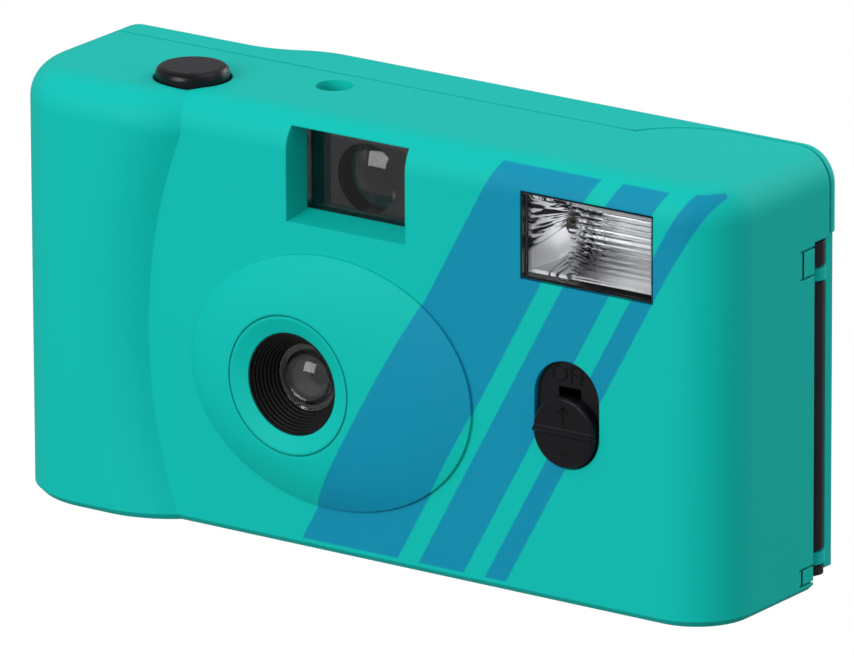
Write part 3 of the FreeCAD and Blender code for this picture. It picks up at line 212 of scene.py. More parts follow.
# %% [markdown]
# ## Moulded grain
# Moulded plastic is never quite smooth or even: the tool leaves a fine grain, and the tone and sheen
# drift slowly across a part. Fine noise gives the grain as a bump and slow noise gives the drift. A Bevel
# node rounds sharp edges in the shading alone, so the solids keep their exact shape.
# %% The moulded surface
SLOW_SCALE = 70.0                        # counts per metre
SPECKLE_SHARE, SHEEN_SHARE = 0.8, 1.5    # of the mottle, for the grain's tone and for the sheen


def moulded_group():
    """Fine moulded grain, with a slow change of tone and sheen, and slightly rounded edges."""
    tree, given, out = new_group("moulded_surface", [
        ("Colour", COLOUR, (0.5, 0.5, 0.5, 1)), ("Roughness", FLOAT, 0.5), ("Grain size mm", FLOAT, 0.25),
        ("Grain depth mm", FLOAT, 0.01), ("Mottle", FLOAT, 0.03), ("Edge radius mm", FLOAT, 0.2)],
        [("Colour", COLOUR), ("Roughness", FLOAT), ("Normal", VECTOR)])
    place = object_place(tree)
    fine = noise(tree, place, over(tree, 1.0 / MM, given["Grain size mm"]), Detail=2.0, Roughness=0.6)
    slow = noise(tree, place, SLOW_SCALE, Detail=3.0, Roughness=0.5)
    soft_edge = add_node(tree, "ShaderNodeBevel", {"samples": 4})
    socket(tree, soft_edge.inputs["Radius"], times(tree, given["Edge radius mm"], MM))
    bump = add_node(tree, "ShaderNodeBump", Height=fine, Strength=1.0, Normal=soft_edge.outputs[0])
    socket(tree, bump.inputs["Distance"], times(tree, given["Grain depth mm"], MM))
    shift = times(tree, plus(tree, slow, -0.5), given["Mottle"])
    speckle = times(tree, plus(tree, fine, -0.5), given["Mottle"], SPECKLE_SHARE)
    value = plus(tree, 1.0, shift, speckle)
    tinted = add_node(tree, "ShaderNodeHueSaturation", Color=given["Colour"], Value=value)
    sheen = maths(tree, "ADD", given["Roughness"], times(tree, shift, SHEEN_SHARE), clamp=True)
    socket(tree, out["Colour"], tinted.outputs[0])
    socket(tree, out["Roughness"], sheen)
    socket(tree, out["Normal"], bump.outputs[0])
    return tree


MOULDED = moulded_group()
print("group:", MOULDED.name)

# %% [markdown]
# ## Settled dust
# A camera that has been handled holds a little dust on whatever faces up. The cells of a Voronoi texture
# give small dots, noise thins them out into patches, and the normal keeps them off the sides.
# %% Dust
SPECK_SCALE, SPECK_EDGE, SPECK_CORE = 1400.0, 0.12, 0.05      # both scales are counts per metre
PATCH_SCALE, PATCH_FROM, PATCH_FULL = 160.0, 0.52, 0.72
DUST_FROM_UP, DUST_FULL_UP = -0.2, 0.9   # the normal's upward part


def dust_group():
    """Fine dust that lies on faces turned upwards, as sparse pale specks."""
    tree, given, out = new_group("settled_dust", [
        ("Colour", COLOUR, (0.5, 0.5, 0.5, 1)), ("Dust colour", COLOUR, (0.6, 0.58, 0.54, 1)),
        ("Amount", FLOAT, 0.3)], [("Colour", COLOUR)])
    place = object_place(tree)
    specks = add_node(tree, "ShaderNodeTexVoronoi", Vector=place, Scale=SPECK_SCALE).outputs["Distance"]
    dot = ramp(tree, specks, SPECK_EDGE, SPECK_CORE)
    sparse = ramp(tree, noise(tree, place, PATCH_SCALE, Detail=2.0), PATCH_FROM, PATCH_FULL)
    facing = ramp(tree, split(tree, shading_normal(tree))[2], DUST_FROM_UP, DUST_FULL_UP)
    mask = times(tree, dot, sparse, facing, given["Amount"])
    socket(tree, out["Colour"], mix_colour(tree, mask, given["Colour"], given["Dust colour"]))
    return tree


DUST = dust_group()
print("group:", DUST.name)

# %% [markdown]
# ## Printed bands
# The front is printed with slanted bands in a second colour. An image could carry them, but a rule in x
# and z stays sharp at any size and needs no file. Bands that lean are upright ones on x - lean * z.
# %% Bands
BANDS = ((-10.0, 6.0), (9.5, 17.0), (20.5, 24.0))   # from and to, along x at z = 0
BAND_EDGE, TOP_EDGE = 0.12, 0.1
PRINT_FRONT, PRINT_BACK = -7.2, -7.0     # the print ends here, from the frame's origin
PRINT_LOW_END, PRINT_LOW = 1.35, 1.6


def bands_group():
    """Slanted printed bands on the front. Their line is u = x - lean * z, in mm."""
    tree, given, out = new_group("printed_bands", [
        ("Base", COLOUR, (0, 0.5, 0.4, 1)), ("Print", COLOUR, (0, 0.2, 0.4, 1)), ("Lean", FLOAT, 0.55),
        ("Top", FLOAT, 60.5)], [("Colour", COLOUR)])
    x, y, z = place_mm(tree)
    u = maths(tree, "SUBTRACT", x, times(tree, z, given["Lean"]))
    total = 0.0
    for low, high in BANDS:
        inside = times(tree, ramp(tree, u, low - BAND_EDGE, low + BAND_EDGE),
                       ramp(tree, u, high + BAND_EDGE, high - BAND_EDGE))
        total = maths(tree, "MAXIMUM", total, inside)
    front = ramp(tree, y, PRINT_BACK, PRINT_FRONT)
    below = ramp(tree, z, plus(tree, given["Top"], TOP_EDGE), plus(tree, given["Top"], -TOP_EDGE))
    above = ramp(tree, z, PRINT_LOW_END, PRINT_LOW)
    mask = times(tree, total, front, below, above)
    socket(tree, out["Colour"], mix_colour(tree, mask, given["Base"], given["Print"]))
    return tree


PRINT = bands_group()
print("group:", PRINT.name, "with", len(BANDS), "bands")

# %% [markdown]
# ## Shadow in the seams
# Where the two shell halves meet at the hinge end, the gap is a narrow slot, and its inner faces are
# nearly dark. A render leaves them too light, so these faces, which look to the front or back between
# the skins, are given a dark tone instead.
# %% Seam shadow
SEAM_FROM_X, SEAM_FULL_X = 30.0, 33.0
SEAM_TURNED = 0.85                       # how far towards the front or back a face has to look


def seam_group():
    """The cut faces inside the seams at the hinge end, turned to the front or back, stay in shadow."""
    tree, given, out = new_group("seam_shadow", [
        ("Colour", COLOUR, (0, 0.5, 0.4, 1)), ("Shadow", COLOUR, (0, 0.035, 0.032, 1)),
        ("From mm", FLOAT, -3.0), ("To mm", FLOAT, 11.7)], [("Colour", COLOUR)])
    across, depth, _ = place_mm(tree)
    turned = maths(tree, "ABSOLUTE", split(tree, object_normal(tree))[1])
    facing = maths(tree, "GREATER_THAN", turned, SEAM_TURNED)
    behind = maths(tree, "GREATER_THAN", depth, given["From mm"])
    before = maths(tree, "LESS_THAN", depth, given["To mm"])
    mask = times(tree, facing, behind, before, ramp(tree, across, SEAM_FROM_X, SEAM_FULL_X))
    socket(tree, out["Colour"], mix_colour(tree, mask, given["Colour"], given["Shadow"]))
    return tree


SEAM = seam_group()
print("group:", SEAM.name)

# %% [markdown]
# ## Even shading of the oval boss
# The boss round the lens is one smooth swell, a loft of ovals. As a solid it is ruled straight between
# its rings, and a soft light would show each ring as a step. The real slope is known from the ovals, so
# it is worked out at each point and used as the normal, and the solid is left alone.
# %% Boss shading
LENS_X, LENS_Z = -9.4, 24.0
BOSS_X, BOSS_Z, BOSS_RX, BOSS_RZ = -4.0, 24.7, 23.4, 18.0
BOSS_HEIGHT, BOSS_RIM, BOSS_SEAT = 2.85, 0.45, 10.32
BOSS_RULINGS = ((0.0, 0.16, 0.30), (0.16, 0.48, 0.35), (0.48, 1.0, 0.35))   # fall from, fall to, share
BOSS_SLOPE_AT_SEAT, BOSS_SLOPE_GROWTH = 0.4, 1.2
BOSS_EDGE, BOSS_SLACK, FORWARD_TURNED = 0.999, 0.02, -0.7


def dome_group():
    """Even shading for the oval boss, whose rings of straight rulings would show as steps.

    The boss is a loft of ovals, each set by its share of the way out. Its slope follows from the share
    and from the point's place on its oval.
    """
    tree, given, out = new_group("boss_dome", [("Normal", VECTOR, None)], [("Normal", VECTOR)])
    shape = shading_normal(tree)
    x, y, z = place_mm(tree)
    rise = BOSS_HEIGHT - BOSS_RIM
    fall = over(tree, plus(tree, y, CENTRE_Y + BOSS_HEIGHT), rise)
    share = plus(tree, *(times(tree, ramp(tree, fall, low, high), part) for low, high, part in BOSS_RULINGS))

    def along(value, start, run, grow):
        """The oval's reach on one axis, the point's share of it, and that axis's part of the spread."""
        reach = plus(tree, times(tree, share, grow), BOSS_SEAT)
        part = over(tree, plus(tree, value, times(tree, share, -run), -start), reach)
        spread = over(tree, times(tree, part, plus(tree, times(tree, part, grow), run)), reach)
        return reach, part, spread

    width, part_x, spread_x = along(x, LENS_X, BOSS_X - LENS_X, BOSS_RX - BOSS_SEAT)
    height, part_z, spread_z = along(z, LENS_Z, BOSS_Z - LENS_Z, BOSS_RZ - BOSS_SEAT)
    growth = plus(tree, times(tree, share, BOSS_SLOPE_GROWTH), BOSS_SLOPE_AT_SEAT)
    slope = over(tree, times(tree, growth, rise), plus(tree, spread_x, spread_z))
    tilted = add_node(tree, "ShaderNodeCombineXYZ", X=times(tree, slope, over(tree, part_x, width)),
                      Y=-1.0, Z=times(tree, slope, over(tree, part_z, height))).outputs[0]
    to_world = {"vector_type": "NORMAL", "convert_from": "OBJECT", "convert_to": "WORLD"}
    even = vectors(tree, "NORMALIZE", i0=tilted)
    turned = add_node(tree, "ShaderNodeVectorTransform", to_world, Vector=even).outputs[0]

    def squared(centre_x, centre_z, reach_x, reach_z):
        """How far out the point lies on an oval, squared: 1 on its line."""
        u = over(tree, plus(tree, x, -centre_x), reach_x)
        v = over(tree, plus(tree, z, -centre_z), reach_z)
        return plus(tree, times(tree, u, u), times(tree, v, v))

    inside = maths(tree, "LESS_THAN", squared(BOSS_X, BOSS_Z, BOSS_RX, BOSS_RZ), BOSS_EDGE)
    outside = maths(tree, "GREATER_THAN", squared(LENS_X, LENS_Z, BOSS_SEAT, BOSS_SEAT), 1.0)
    ahead = maths(tree, "LESS_THAN", y, -CENTRE_Y - BOSS_RIM + BOSS_SLACK)
    forward = maths(tree, "LESS_THAN", split(tree, shape)[1], FORWARD_TURNED)
    mask = times(tree, inside, outside, ahead, forward)
    change = vectors(tree, "SCALE", i0=vectors(tree, "SUBTRACT", i0=turned, i1=shape), Scale=mask)
    shaded = vectors(tree, "ADD", i0=given["Normal"], i1=change)
    socket(tree, out["Normal"], vectors(tree, "NORMALIZE", i0=shaded))
    return tree


DOME = dome_group()
print("group:", DOME.name)

# %% [markdown]
# ## Plain plastics
# Most pieces are one moulded plastic in another colour, sheen or grain. A single function makes them all
# from the two shared groups, and each plastic is then one line of values.
# %% Plastic


def new_material(name):
    made = bpy.data.materials.new(name)
    made.use_nodes = True
    tree = made.node_tree
    tree.nodes.clear()
    shader = tree.nodes.new("ShaderNodeBsdfPrincipled")
    out = tree.nodes.new("ShaderNodeOutputMaterial")
    tree.links.new(shader.outputs[0], out.inputs[0])
    return made, tree, shader


def plastic(name, colour, roughness, grain=0.25, depth=0.01, mottle=0.03, dust=0.2, specular=0.3):
    made, tree, shader = new_material(name)
    surface = use_group(tree, MOULDED, Colour=colour, Roughness=roughness, Grain_size_mm=grain,
                        Grain_depth_mm=depth, Mottle=mottle)
    dusted = use_group(tree, DUST, Colour=surface["Colour"], Amount=dust)
    socket(tree, shader.inputs["Base Color"], dusted["Colour"])
    socket(tree, shader.inputs["Roughness"], surface["Roughness"])
    socket(tree, shader.inputs["Normal"], surface["Normal"])
    shader.inputs["Specular IOR Level"].default_value = specular
    return made


# %% [markdown]
# ## The shell's soft teal
# The shell is matt to the touch and takes the light evenly, so its shine is low and its grain fine. Both
# halves share the colour and the seam's shadow. Only the front one has the bands and the swollen boss.
# %% Soft-touch shell
TEAL = linear(0, 195, 183)
BLUE = linear(8, 147, 181)


def soft_touch(name, printed):
    """The shell's matt plastic. The printed one has the bands and the even shading of the boss."""
    made, tree, shader = new_material(name)
    colour = TEAL
    if printed:
        colour = use_group(tree, PRINT, Base=TEAL, Print=BLUE)["Colour"]
    colour = use_group(tree, SEAM, Colour=colour)["Colour"]
    surface = use_group(tree, MOULDED, Colour=colour, Roughness=0.62, Grain_size_mm=0.22,
                        Grain_depth_mm=0.012, Mottle=0.035, Edge_radius_mm=0.3)
    dusted = use_group(tree, DUST, Colour=surface["Colour"], Amount=0.12)
    normal = surface["Normal"]
    if printed:
        normal = use_group(tree, DOME, Normal=normal)["Normal"]
    socket(tree, shader.inputs["Base Color"], dusted["Colour"])
    socket(tree, shader.inputs["Roughness"], surface["Roughness"])
    socket(tree, shader.inputs["Normal"], normal)
    shader.inputs["Specular IOR Level"].default_value = 0.15
    return made


# %% [markdown]
# ## Metals
# Springs, pins, plates and contacts are bare or blackened metal, rolled or drawn, which leaves fine lines.
# Noise squeezed along one axis gives such lines, and they change the roughness only.
# %% Metal
LINE_SQUEEZE, LINE_COUNT = (1.0, 1.0, 30.0), 900.0   # the count is per metre, before the squeeze


def metal(name, colour, roughness, brushed):
    made, tree, shader = new_material(name)
    squeezed = add_node(tree, "ShaderNodeMapping", Vector=object_place(tree), Scale=LINE_SQUEEZE)
    lines = noise(tree, squeezed.outputs[0], LINE_COUNT, Detail=2.0)
    shift = times(tree, plus(tree, lines, -0.5), brushed)
    shader.inputs["Base Color"].default_value = colour
    shader.inputs["Metallic"].default_value = 1.0
    socket(tree, shader.inputs["Roughness"], maths(tree, "ADD", roughness, shift, clamp=True))
    return made


# %% [markdown]
# ## Bright foil behind the flash tube
# The trough is lined with bright foil. Near the bulb end its crease facets fan out from one point, and their
# reflections are painted into the foil's colour, dark and bright, with one sector a painted highlight.
# Further along, the pane's ribs are painted on it as fine grey lines of shade. The fan is noise on the angle
# round that point, which makes it spread by itself, and the lines are noise squeezed along z.
# %% Foil
FLASH_X, FLASH_Z = 38.1, 51.2
FAN_LEFT, FAN_UP = 6.2, 1.0              # the creases' centre from the window's middle
FAN_END, FAN_FADE = 4.2, 2.2             # where the fan gives way to the lines, right of that centre
FAN_ROUND, FAN_OUT, FAN_SCALE = 5.0, 0.35, 1.6
# Painted reflections: where the crease fan turns dark and where it turns bright.
CREASE_SHADE_AT, CREASE_GLINT_AT = 0.47, 0.53
BULB_R, BULB_EDGE = 1.0, 1.5
# Painted highlight: one sector of the fan is left bright.
GLINT_ANGLES = ((-2.5, -2.4), (-1.7, -1.8))   # the angles between which the foil is left bright
GLINT_FROM, GLINT_FULL = 1.6, 2.2
# Painted shade of the pane's ribs, drawn as grey lines on the foil.
RIB_SHADE_SCALE, RIB_SHADE_DARK, RIB_SHADE_BRIGHT = (30.0, 30.0, 2600.0), 0.32, 0.5
RIB_SHADE_TONE, RIB_SHADE_CONTRAST = 0.45, 0.45
# The foil's painted reflection colours, dark and bright.
FOIL_REFLECTION_DARK, FOIL_REFLECTION_BRIGHT = (0.015, 0.015, 0.02, 1), (0.93, 0.93, 0.95, 1)


def reflector_foil():
    """Bright foil painted with a fan of crease reflections by the bulb end and even grey rib shade beyond.
    """
    made, tree, shader = new_material("reflector_foil")
    x, _, z = place_mm(tree)
    across, above = plus(tree, x, FAN_LEFT - FLASH_X), plus(tree, z, -FAN_UP - FLASH_Z)
    angle = maths(tree, "ARCTAN2", above, across)
    reach = maths(tree, "POWER", plus(tree, times(tree, across, across), times(tree, above, above)), 0.5)
    polar = add_node(tree, "ShaderNodeCombineXYZ", X=times(tree, angle, FAN_ROUND),
                     Y=times(tree, reach, FAN_OUT))
    fan = noise(tree, polar.outputs[0], FAN_SCALE, Detail=3.0, Distortion=0.6)
    # Painted highlight in one sector of the fan.
    (low_from, low_to), (high_from, high_to) = GLINT_ANGLES
    glint_corner = times(tree, ramp(tree, angle, low_from, low_to), ramp(tree, angle, high_from, high_to),
                   ramp(tree, reach, GLINT_FROM, GLINT_FULL))
    crease_reflections = maths(tree, "MAXIMUM", ramp(tree, fan, CREASE_SHADE_AT, CREASE_GLINT_AT), glint_corner)
    crease_reflections = times(tree, crease_reflections, ramp(tree, reach, BULB_R, BULB_EDGE))
    # Painted shade of the pane's ribs, as grey lines.
    run = add_node(tree, "ShaderNodeMapping", Vector=object_place(tree), Scale=RIB_SHADE_SCALE).outputs[0]
    lines = ramp(tree, noise(tree, run, 1.0, Detail=2.0), RIB_SHADE_DARK, RIB_SHADE_BRIGHT)
    tone = plus(tree, RIB_SHADE_TONE, times(tree, lines, RIB_SHADE_CONTRAST))
    grey = add_node(tree, "ShaderNodeCombineColor", Red=tone, Green=tone, Blue=tone).outputs[0]
    # The crease fan's painted reflections, blended into the painted rib shade.
    fan_reflections = mix_colour(tree, crease_reflections, FOIL_REFLECTION_DARK, FOIL_REFLECTION_BRIGHT)
    colour = mix_colour(tree, ramp(tree, across, FAN_END, FAN_FADE), grey, fan_reflections)
    socket(tree, shader.inputs["Base Color"], colour)
    shader.inputs["Metallic"].default_value = 1.0
    shader.inputs["Roughness"].default_value = 0.3
    return made


# %% [markdown]
# ## Clear plastic and glass
# The lens, the finder's windows, the flash tube and the ready lamp let light through. Full transmission
# with the right IOR bends it as the real ones do, and faint smears in the roughness keep them from
# looking like empty holes.
# %% Clear pieces
SMEAR_SCALE, SMEAR_FROM, SMEAR_FULL = 300.0, 0.5, 0.8   # the scale is counts per metre
CLEAR_ROUGHNESS, SMEAR_ROUGHNESS = 0.02, 0.03


def clear_base(name, tint, ior):
    """Clear plastic or glass with faint smears."""
    made, tree, shader = new_material(name)
    smear = ramp(tree, noise(tree, object_place(tree), SMEAR_SCALE, Detail=3.0), SMEAR_FROM, SMEAR_FULL)
    roughness = plus(tree, CLEAR_ROUGHNESS, times(tree, smear, SMEAR_ROUGHNESS))
    shader.inputs["Base Color"].default_value = tint
    shader.inputs["Transmission Weight"].default_value = 1.0
    shader.inputs["IOR"].default_value = ior
    socket(tree, shader.inputs["Roughness"], roughness)
    return made, tree, shader


def clear(name, tint, ior=1.49):
    return clear_base(name, tint, ior)[0]


# %% [markdown]
# ## The flash pane's finish
# The pane over the flash is clear, with fine ribs that spread the light. Cut ribs would need many thin
# faces, so a sine bump along z gives them, and it starts only right of the bulb. The pane's cut sides are
# black, as the frame that holds it is.
# %% Ribbed pane
RIB_PITCH, RIB_DEPTH = 0.79, 0.05
RIB_START, RIB_FULL = -3.0, -2.4         # from the window's middle
SIDE_CLEAR, SIDE_BLACK = 0.3, 0.15       # how far to the front a face looks
PANE_TINT, PANE_SIDES = (0.98, 0.99, 1.0, 1), (0.012, 0.012, 0.014, 1)


def flash_pane():
    """A clear pane with fine ribs on its right part. Its cut sides are black, as the frame is."""
    made, tree, shader = clear_base("flash_clear", PANE_TINT, 1.2)
    x, _, z = split(tree, object_place(tree))
    wave = maths(tree, "SINE", times(tree, z, 2.0 * math.pi / (RIB_PITCH * MM)))
    ribbed = ramp(tree, over(tree, x, MM), FLASH_X + RIB_START, FLASH_X + RIB_FULL)
    ribs = add_node(tree, "ShaderNodeBump", Height=times(tree, wave, ribbed), Strength=1.0,
                    Distance=RIB_DEPTH * MM)
    forward = maths(tree, "ABSOLUTE", split(tree, object_normal(tree))[1])
    sides = ramp(tree, forward, SIDE_CLEAR, SIDE_BLACK)
    socket(tree, shader.inputs["Normal"], ribs.outputs[0])
    socket(tree, shader.inputs["Base Color"], mix_colour(tree, sides, PANE_TINT, PANE_SIDES))
    socket(tree, shader.inputs["Transmission Weight"], maths(tree, "SUBTRACT", 1.0, sides))
    return made


# %% [markdown]
# ## All finishes
# Each finish is named for what it is on the camera and made once. Two pieces of one finish then match,
# as two parts from one bag of plastic do.
# %% Finishes
BLACK = linear(15, 15, 20)

FINISH = {
    "printed": soft_touch("soft_touch_printed", True),
    "teal": soft_touch("soft_touch_plain", False),
    # Painted shade: the teal darkened for the line of the groove round the lens ring.
    "groove": plastic("groove_shade_teal", linear(0, 150, 140), 0.6, grain=0.2, specular=0.15),
    "black": plastic("black_moulded", BLACK, 0.42, grain=0.3, depth=0.012),
    "black_satin": plastic("black_satin", BLACK, 0.3, grain=0.35, depth=0.006, mottle=0.02),
    "black_gloss": plastic("black_gloss", linear(10, 10, 13), 0.12, grain=0.6, depth=0.004, mottle=0.02,
                           dust=0.3),
    "black_matt": plastic("black_matt", linear(8, 8, 10), 0.55, grain=0.2, dust=0.1),
    "strip": plastic("post_grey", linear(30, 29, 36), 0.42, grain=0.3, depth=0.012),
    "pale": plastic("pale_plastic", linear(190, 188, 180), 0.4, grain=0.4, depth=0.004),
    "dial": plastic("dial_white", linear(225, 225, 220), 0.45, grain=0.4, depth=0.004),
    "foam": plastic("seal_foam", linear(22, 22, 24), 0.9, grain=0.5, depth=0.12, mottle=0.15,
                    specular=0.1),
    "silicone": plastic("silicone", linear(210, 208, 198), 0.5, grain=0.5, depth=0.005),
    "laminate": plastic("board_laminate", linear(150, 110, 50), 0.5, grain=0.3, mottle=0.1),
    "can": plastic("capacitor_sleeve", linear(20, 20, 36), 0.25, grain=0.6, depth=0.003),
    "coil": plastic("coil_wire", linear(150, 80, 30), 0.3, grain=0.2, depth=0.02),
    "battery": plastic("battery_sleeve", linear(40, 42, 46), 0.3, grain=0.8, depth=0.002),
    "amber": clear("lamp_amber", (0.95, 0.35, 0.1, 1)),
    "steel": metal("steel", (0.55, 0.55, 0.56, 1), 0.3, 0.25),
    "black_steel": metal("blackened_steel", (0.06, 0.06, 0.065, 1), 0.4, 0.2),
    "brass": metal("plated_brass", (0.75, 0.6, 0.32, 1), 0.25, 0.2),
    "foil": reflector_foil(),
    "lens": clear("lens_clear", (0.97, 0.99, 1.0, 1)),
    "finder": clear("finder_clear", (0.97, 0.99, 1.0, 1)),
    "window": flash_pane(),
    "tube": clear("tube_glass", (0.96, 0.97, 0.98, 1), ior=1.47),
}
print("finishes:", len(FINISH))

# %% [markdown]
# ## Dressing the solids
# Each solid gets the finish of its real counterpart. The list goes by finish, so that it shows at a
# glance which pieces are made of the same stuff.
# %% Which solid has which finish
SURFACES = {
    "printed": ("front_shell",),
    "teal": ("rear_cover", "film_door", "lens_trim_ring"),
    "black": ("battery_door", "switch_plate", "button_guide", "lever_post", "counter_post",
              "take_up_spool", "advance_wheel", "film_sprocket", "rewind_knob", "crank_arm",
              "release_pin", "door_latch"),
    "black_satin": ("switch_knob", "shutter_button"),
    "black_gloss": ("finder_tunnel",),
    "black_matt": ("lens_barrel", "aperture_plate", "shutter_plate", "light_box", "cassette_chamber",
                   "take_up_frame"),
    "black_steel": ("pressure_plate", "shutter_blade", "chassis_screws"),
    "steel": ("plate_springs", "hinge_pin", "button_spring"),
    "brass": ("battery_contacts",),
    "strip": ("hinge_post",),
    "pale": ("release_lever",),
    "dial": ("counter_dial",),
    "silicone": ("tube_sleeves",),
    "laminate": ("circuit_board",),
    "can": ("flash_capacitor",),
    "coil": ("trigger_coil",),
    "battery": ("battery",),
    "amber": ("ready_lamp",),
    "lens": ("front_lens",),
    "finder": ("finder_front_lens", "finder_eyepiece"),
    "window": ("flash_window",),
    "foil": ("flash_reflector",),
    "tube": ("flash_tube",),
}

for finish, names in SURFACES.items():
    for name in names:
        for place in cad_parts[name].material_slots:
            place.material = FINISH[finish]
print("nodes dressed:", sum(len(names) for names in SURFACES.values()))

# %% [markdown]
# ## The word by the flash switch
# The flash is off while its knob is down, and a word on the switch plate above the knob says so. A text
# object gives the letters as one outline with a little thickness. It is made a mesh before it is put in
# place, so that the piece sits at the origin with its place in its mesh, as the solids do.
# %% Switch word
SWITCH_X, SWITCH_Z, SWITCH_TRAVEL = 34.9, 27.0, 4.6
WORD_SIZE, WORD_DEPTH, WORD_ABOVE, LETTER_HEIGHT = 3.5, 0.78, 5.4, 0.06
SMOOTH_ANGLE = math.radians(35)
FACE_FRONT = Matrix.Rotation(math.pi / 2, 4, "X")


def clear_selection():
    bpy.ops.object.select_all(action="DESELECT")


def add_word(word, size, placed):
    """Plain lettering as thin raised strokes, its middle put by the given matrix."""
    clear_selection()
    bpy.ops.object.text_add()
    text = bpy.context.object
    text.data.body = word
    text.data.size = size * MM
    text.data.align_x = "CENTER"
    text.data.align_y = "CENTER"
    text.data.extrude = LETTER_HEIGHT * MM
    bpy.ops.object.convert(target="MESH")
    made = bpy.context.object
    made.data.transform(placed)
    return made


def finish_piece(name, body, finish):
    """Names the active object, joins it to a body and gives it its finish."""
    piece = bpy.context.object
    piece.name = name
    piece.data.name = name
    piece.data.materials.clear()
    piece.data.materials.append(FINISH[finish])
    bpy.ops.object.shade_smooth_by_angle(angle=SMOOTH_ANGLE)
    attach(piece, body)
    print("piece:", name, "with", len(piece.data.polygons), "faces")


add_word("OFF", WORD_SIZE, Matrix.Translation(row(SWITCH_X, WORD_DEPTH, SWITCH_Z + WORD_ABOVE)) @ FACE_FRONT)
finish_piece("switch_word", "housing", "black_gloss")

# %% [markdown]
# ## Marks on the switch knob
# The knob has an arrow that shows the way to slide it, and two short bars below. Each stroke is a bar
# between two points, so one helper draws them all. The strokes are joined into one piece, which then
# rides on the knob.
# %% Knob marks
KNOB_Z = SWITCH_Z - SWITCH_TRAVEL / 2
KNOB_FACE, MARK_HEIGHT, STROKE, DASH = -1.0, 0.08, 0.3, 0.45
MARKS = (
    ((0.0, 1.2), (0.0, 3.6), STROKE),
    ((-0.9, 2.7), (0.0, 3.7), STROKE),
    ((0.9, 2.7), (0.0, 3.7), STROKE),
    ((-0.65, -2.9), (-0.2, -2.9), DASH),
    ((0.2, -2.9), (0.65, -2.9), DASH),
)   # from and to as (x, z) from the knob's middle, and the width


def add_bar(start, end, width, height, y):
    """A bar between two points (x, z), standing out from depth y towards the front by its height."""
    (x0, z0), (x1, z1) = start, end
    length = math.hypot(x1 - x0, z1 - z0)
    angle = math.atan2(z1 - z0, x1 - x0)
    bpy.ops.mesh.primitive_cube_add(size=1.0)
    bar = bpy.context.object
    centre = row((x0 + x1) / 2, y - height / 2, (z0 + z1) / 2)
    size = Matrix.Diagonal(Vector((length * MM, height * MM, width * MM, 1.0)))
    bar.data.transform(Matrix.Translation(centre) @ Matrix.Rotation(-angle, 4, "Y") @ size)
    return bar


def join(pieces):
    clear_selection()
    for piece in pieces:
        piece.select_set(True)
    bpy.context.view_layer.objects.active = pieces[0]
    bpy.ops.object.join()


join([add_bar((SWITCH_X + x0, KNOB_Z + z0), (SWITCH_X + x1, KNOB_Z + z1), width, MARK_HEIGHT, KNOB_FACE)
      for (x0, z0), (x1, z1), width in MARKS])
finish_piece("knob_marks", "flash_switch", "black_gloss")

# %% [markdown]
# ## Counter numbers
# The dial under the hole in the top carries the frame numbers. Every fourth frame has its number, turned
# so that it reads upright when it stands under the hole. They are thin letters on the dial's face,
# joined to the dial's body so that they turn with it.
# %% Numbers on the dial
DIAL_X, DIAL_Y, DIAL_TOP = -21.4, 15.5, 57.7
FRAMES, NUMBER_STEP, NUMBER_R, NUMBER_SIZE = 36, 4, 6.3, 1.5

numbers = []
for number in range(0, FRAMES, NUMBER_STEP):
    turn = -2.0 * math.pi * number / FRAMES
    placed = Matrix.Translation(row(DIAL_X, DIAL_Y, DIAL_TOP)) @ Matrix.Rotation(turn, 4, "Z")
    placed = placed @ Matrix.Translation(Vector((NUMBER_R * MM, 0.0, 0.0)))
    numbers.append(add_word(str(number or FRAMES), NUMBER_SIZE, placed))
join(numbers)
finish_piece("counter_numbers", "dial", "black_matt")

# %% [markdown]
# ## Flash pane
# The flash has a thin clear pane. The solid's ribs run over its whole width, but the real ones stop short
# of the bulb end, so a smooth box with softly broken edges takes its place and its finish draws the ribs.
# %% Pane
PANE_W, PANE_THICK, PANE_H = 21.08, 1.78, 11.88
PANE_MIDDLE, PANE_EDGE = 0.91, 0.12
BEVEL_ANGLE = math.radians(40)


def bevel(width):
    piece = bpy.context.object
    cut = piece.modifiers.new("edge", "BEVEL")
    cut.width = width * MM
    cut.segments = 2
    cut.limit_method = "ANGLE"
    cut.angle_limit = BEVEL_ANGLE
    bpy.ops.object.modifier_apply(modifier=cut.name)


clear_selection()
bpy.ops.mesh.primitive_cube_add(size=1.0)
pane = bpy.context.object
pane_size = Matrix.Diagonal(Vector((PANE_W * MM, PANE_THICK * MM, PANE_H * MM, 1.0)))
pane.data.transform(Matrix.Translation(row(FLASH_X, PANE_MIDDLE, FLASH_Z)) @ pane_size)
bevel(PANE_EDGE)
finish_piece("flash_pane", "housing", "window")
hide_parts("flash_window")

# %% [markdown]
# ## Eyepiece frame
# At the back a black frame lines the opening of the eyepiece. It is four bars round the opening, set in a
# little from its edge.
# %% Frame round the eyepiece
EYE_X, EYE_Z, EYE_W, EYE_H = -1.6, 54.0, 11.0, 6.2
FRAME_INSET, FRAME_WIDTH, FRAME_DEEP, FRAME_BACK = 0.3, 0.5, 0.9, 29.85

x0, x1 = EYE_X - EYE_W / 2 + FRAME_INSET, EYE_X + EYE_W / 2 - FRAME_INSET
z0, z1 = EYE_Z - EYE_H / 2 + FRAME_INSET, EYE_Z + EYE_H / 2 - FRAME_INSET
sides = (((x0, z0), (x1, z0)), ((x0, z1), (x1, z1)), ((x0, z0), (x0, z1)), ((x1, z0), (x1, z1)))
join([add_bar(start, end, FRAME_WIDTH, FRAME_DEEP, FRAME_BACK) for start, end in sides])
finish_piece("eyepiece_frame", "housing", "black")

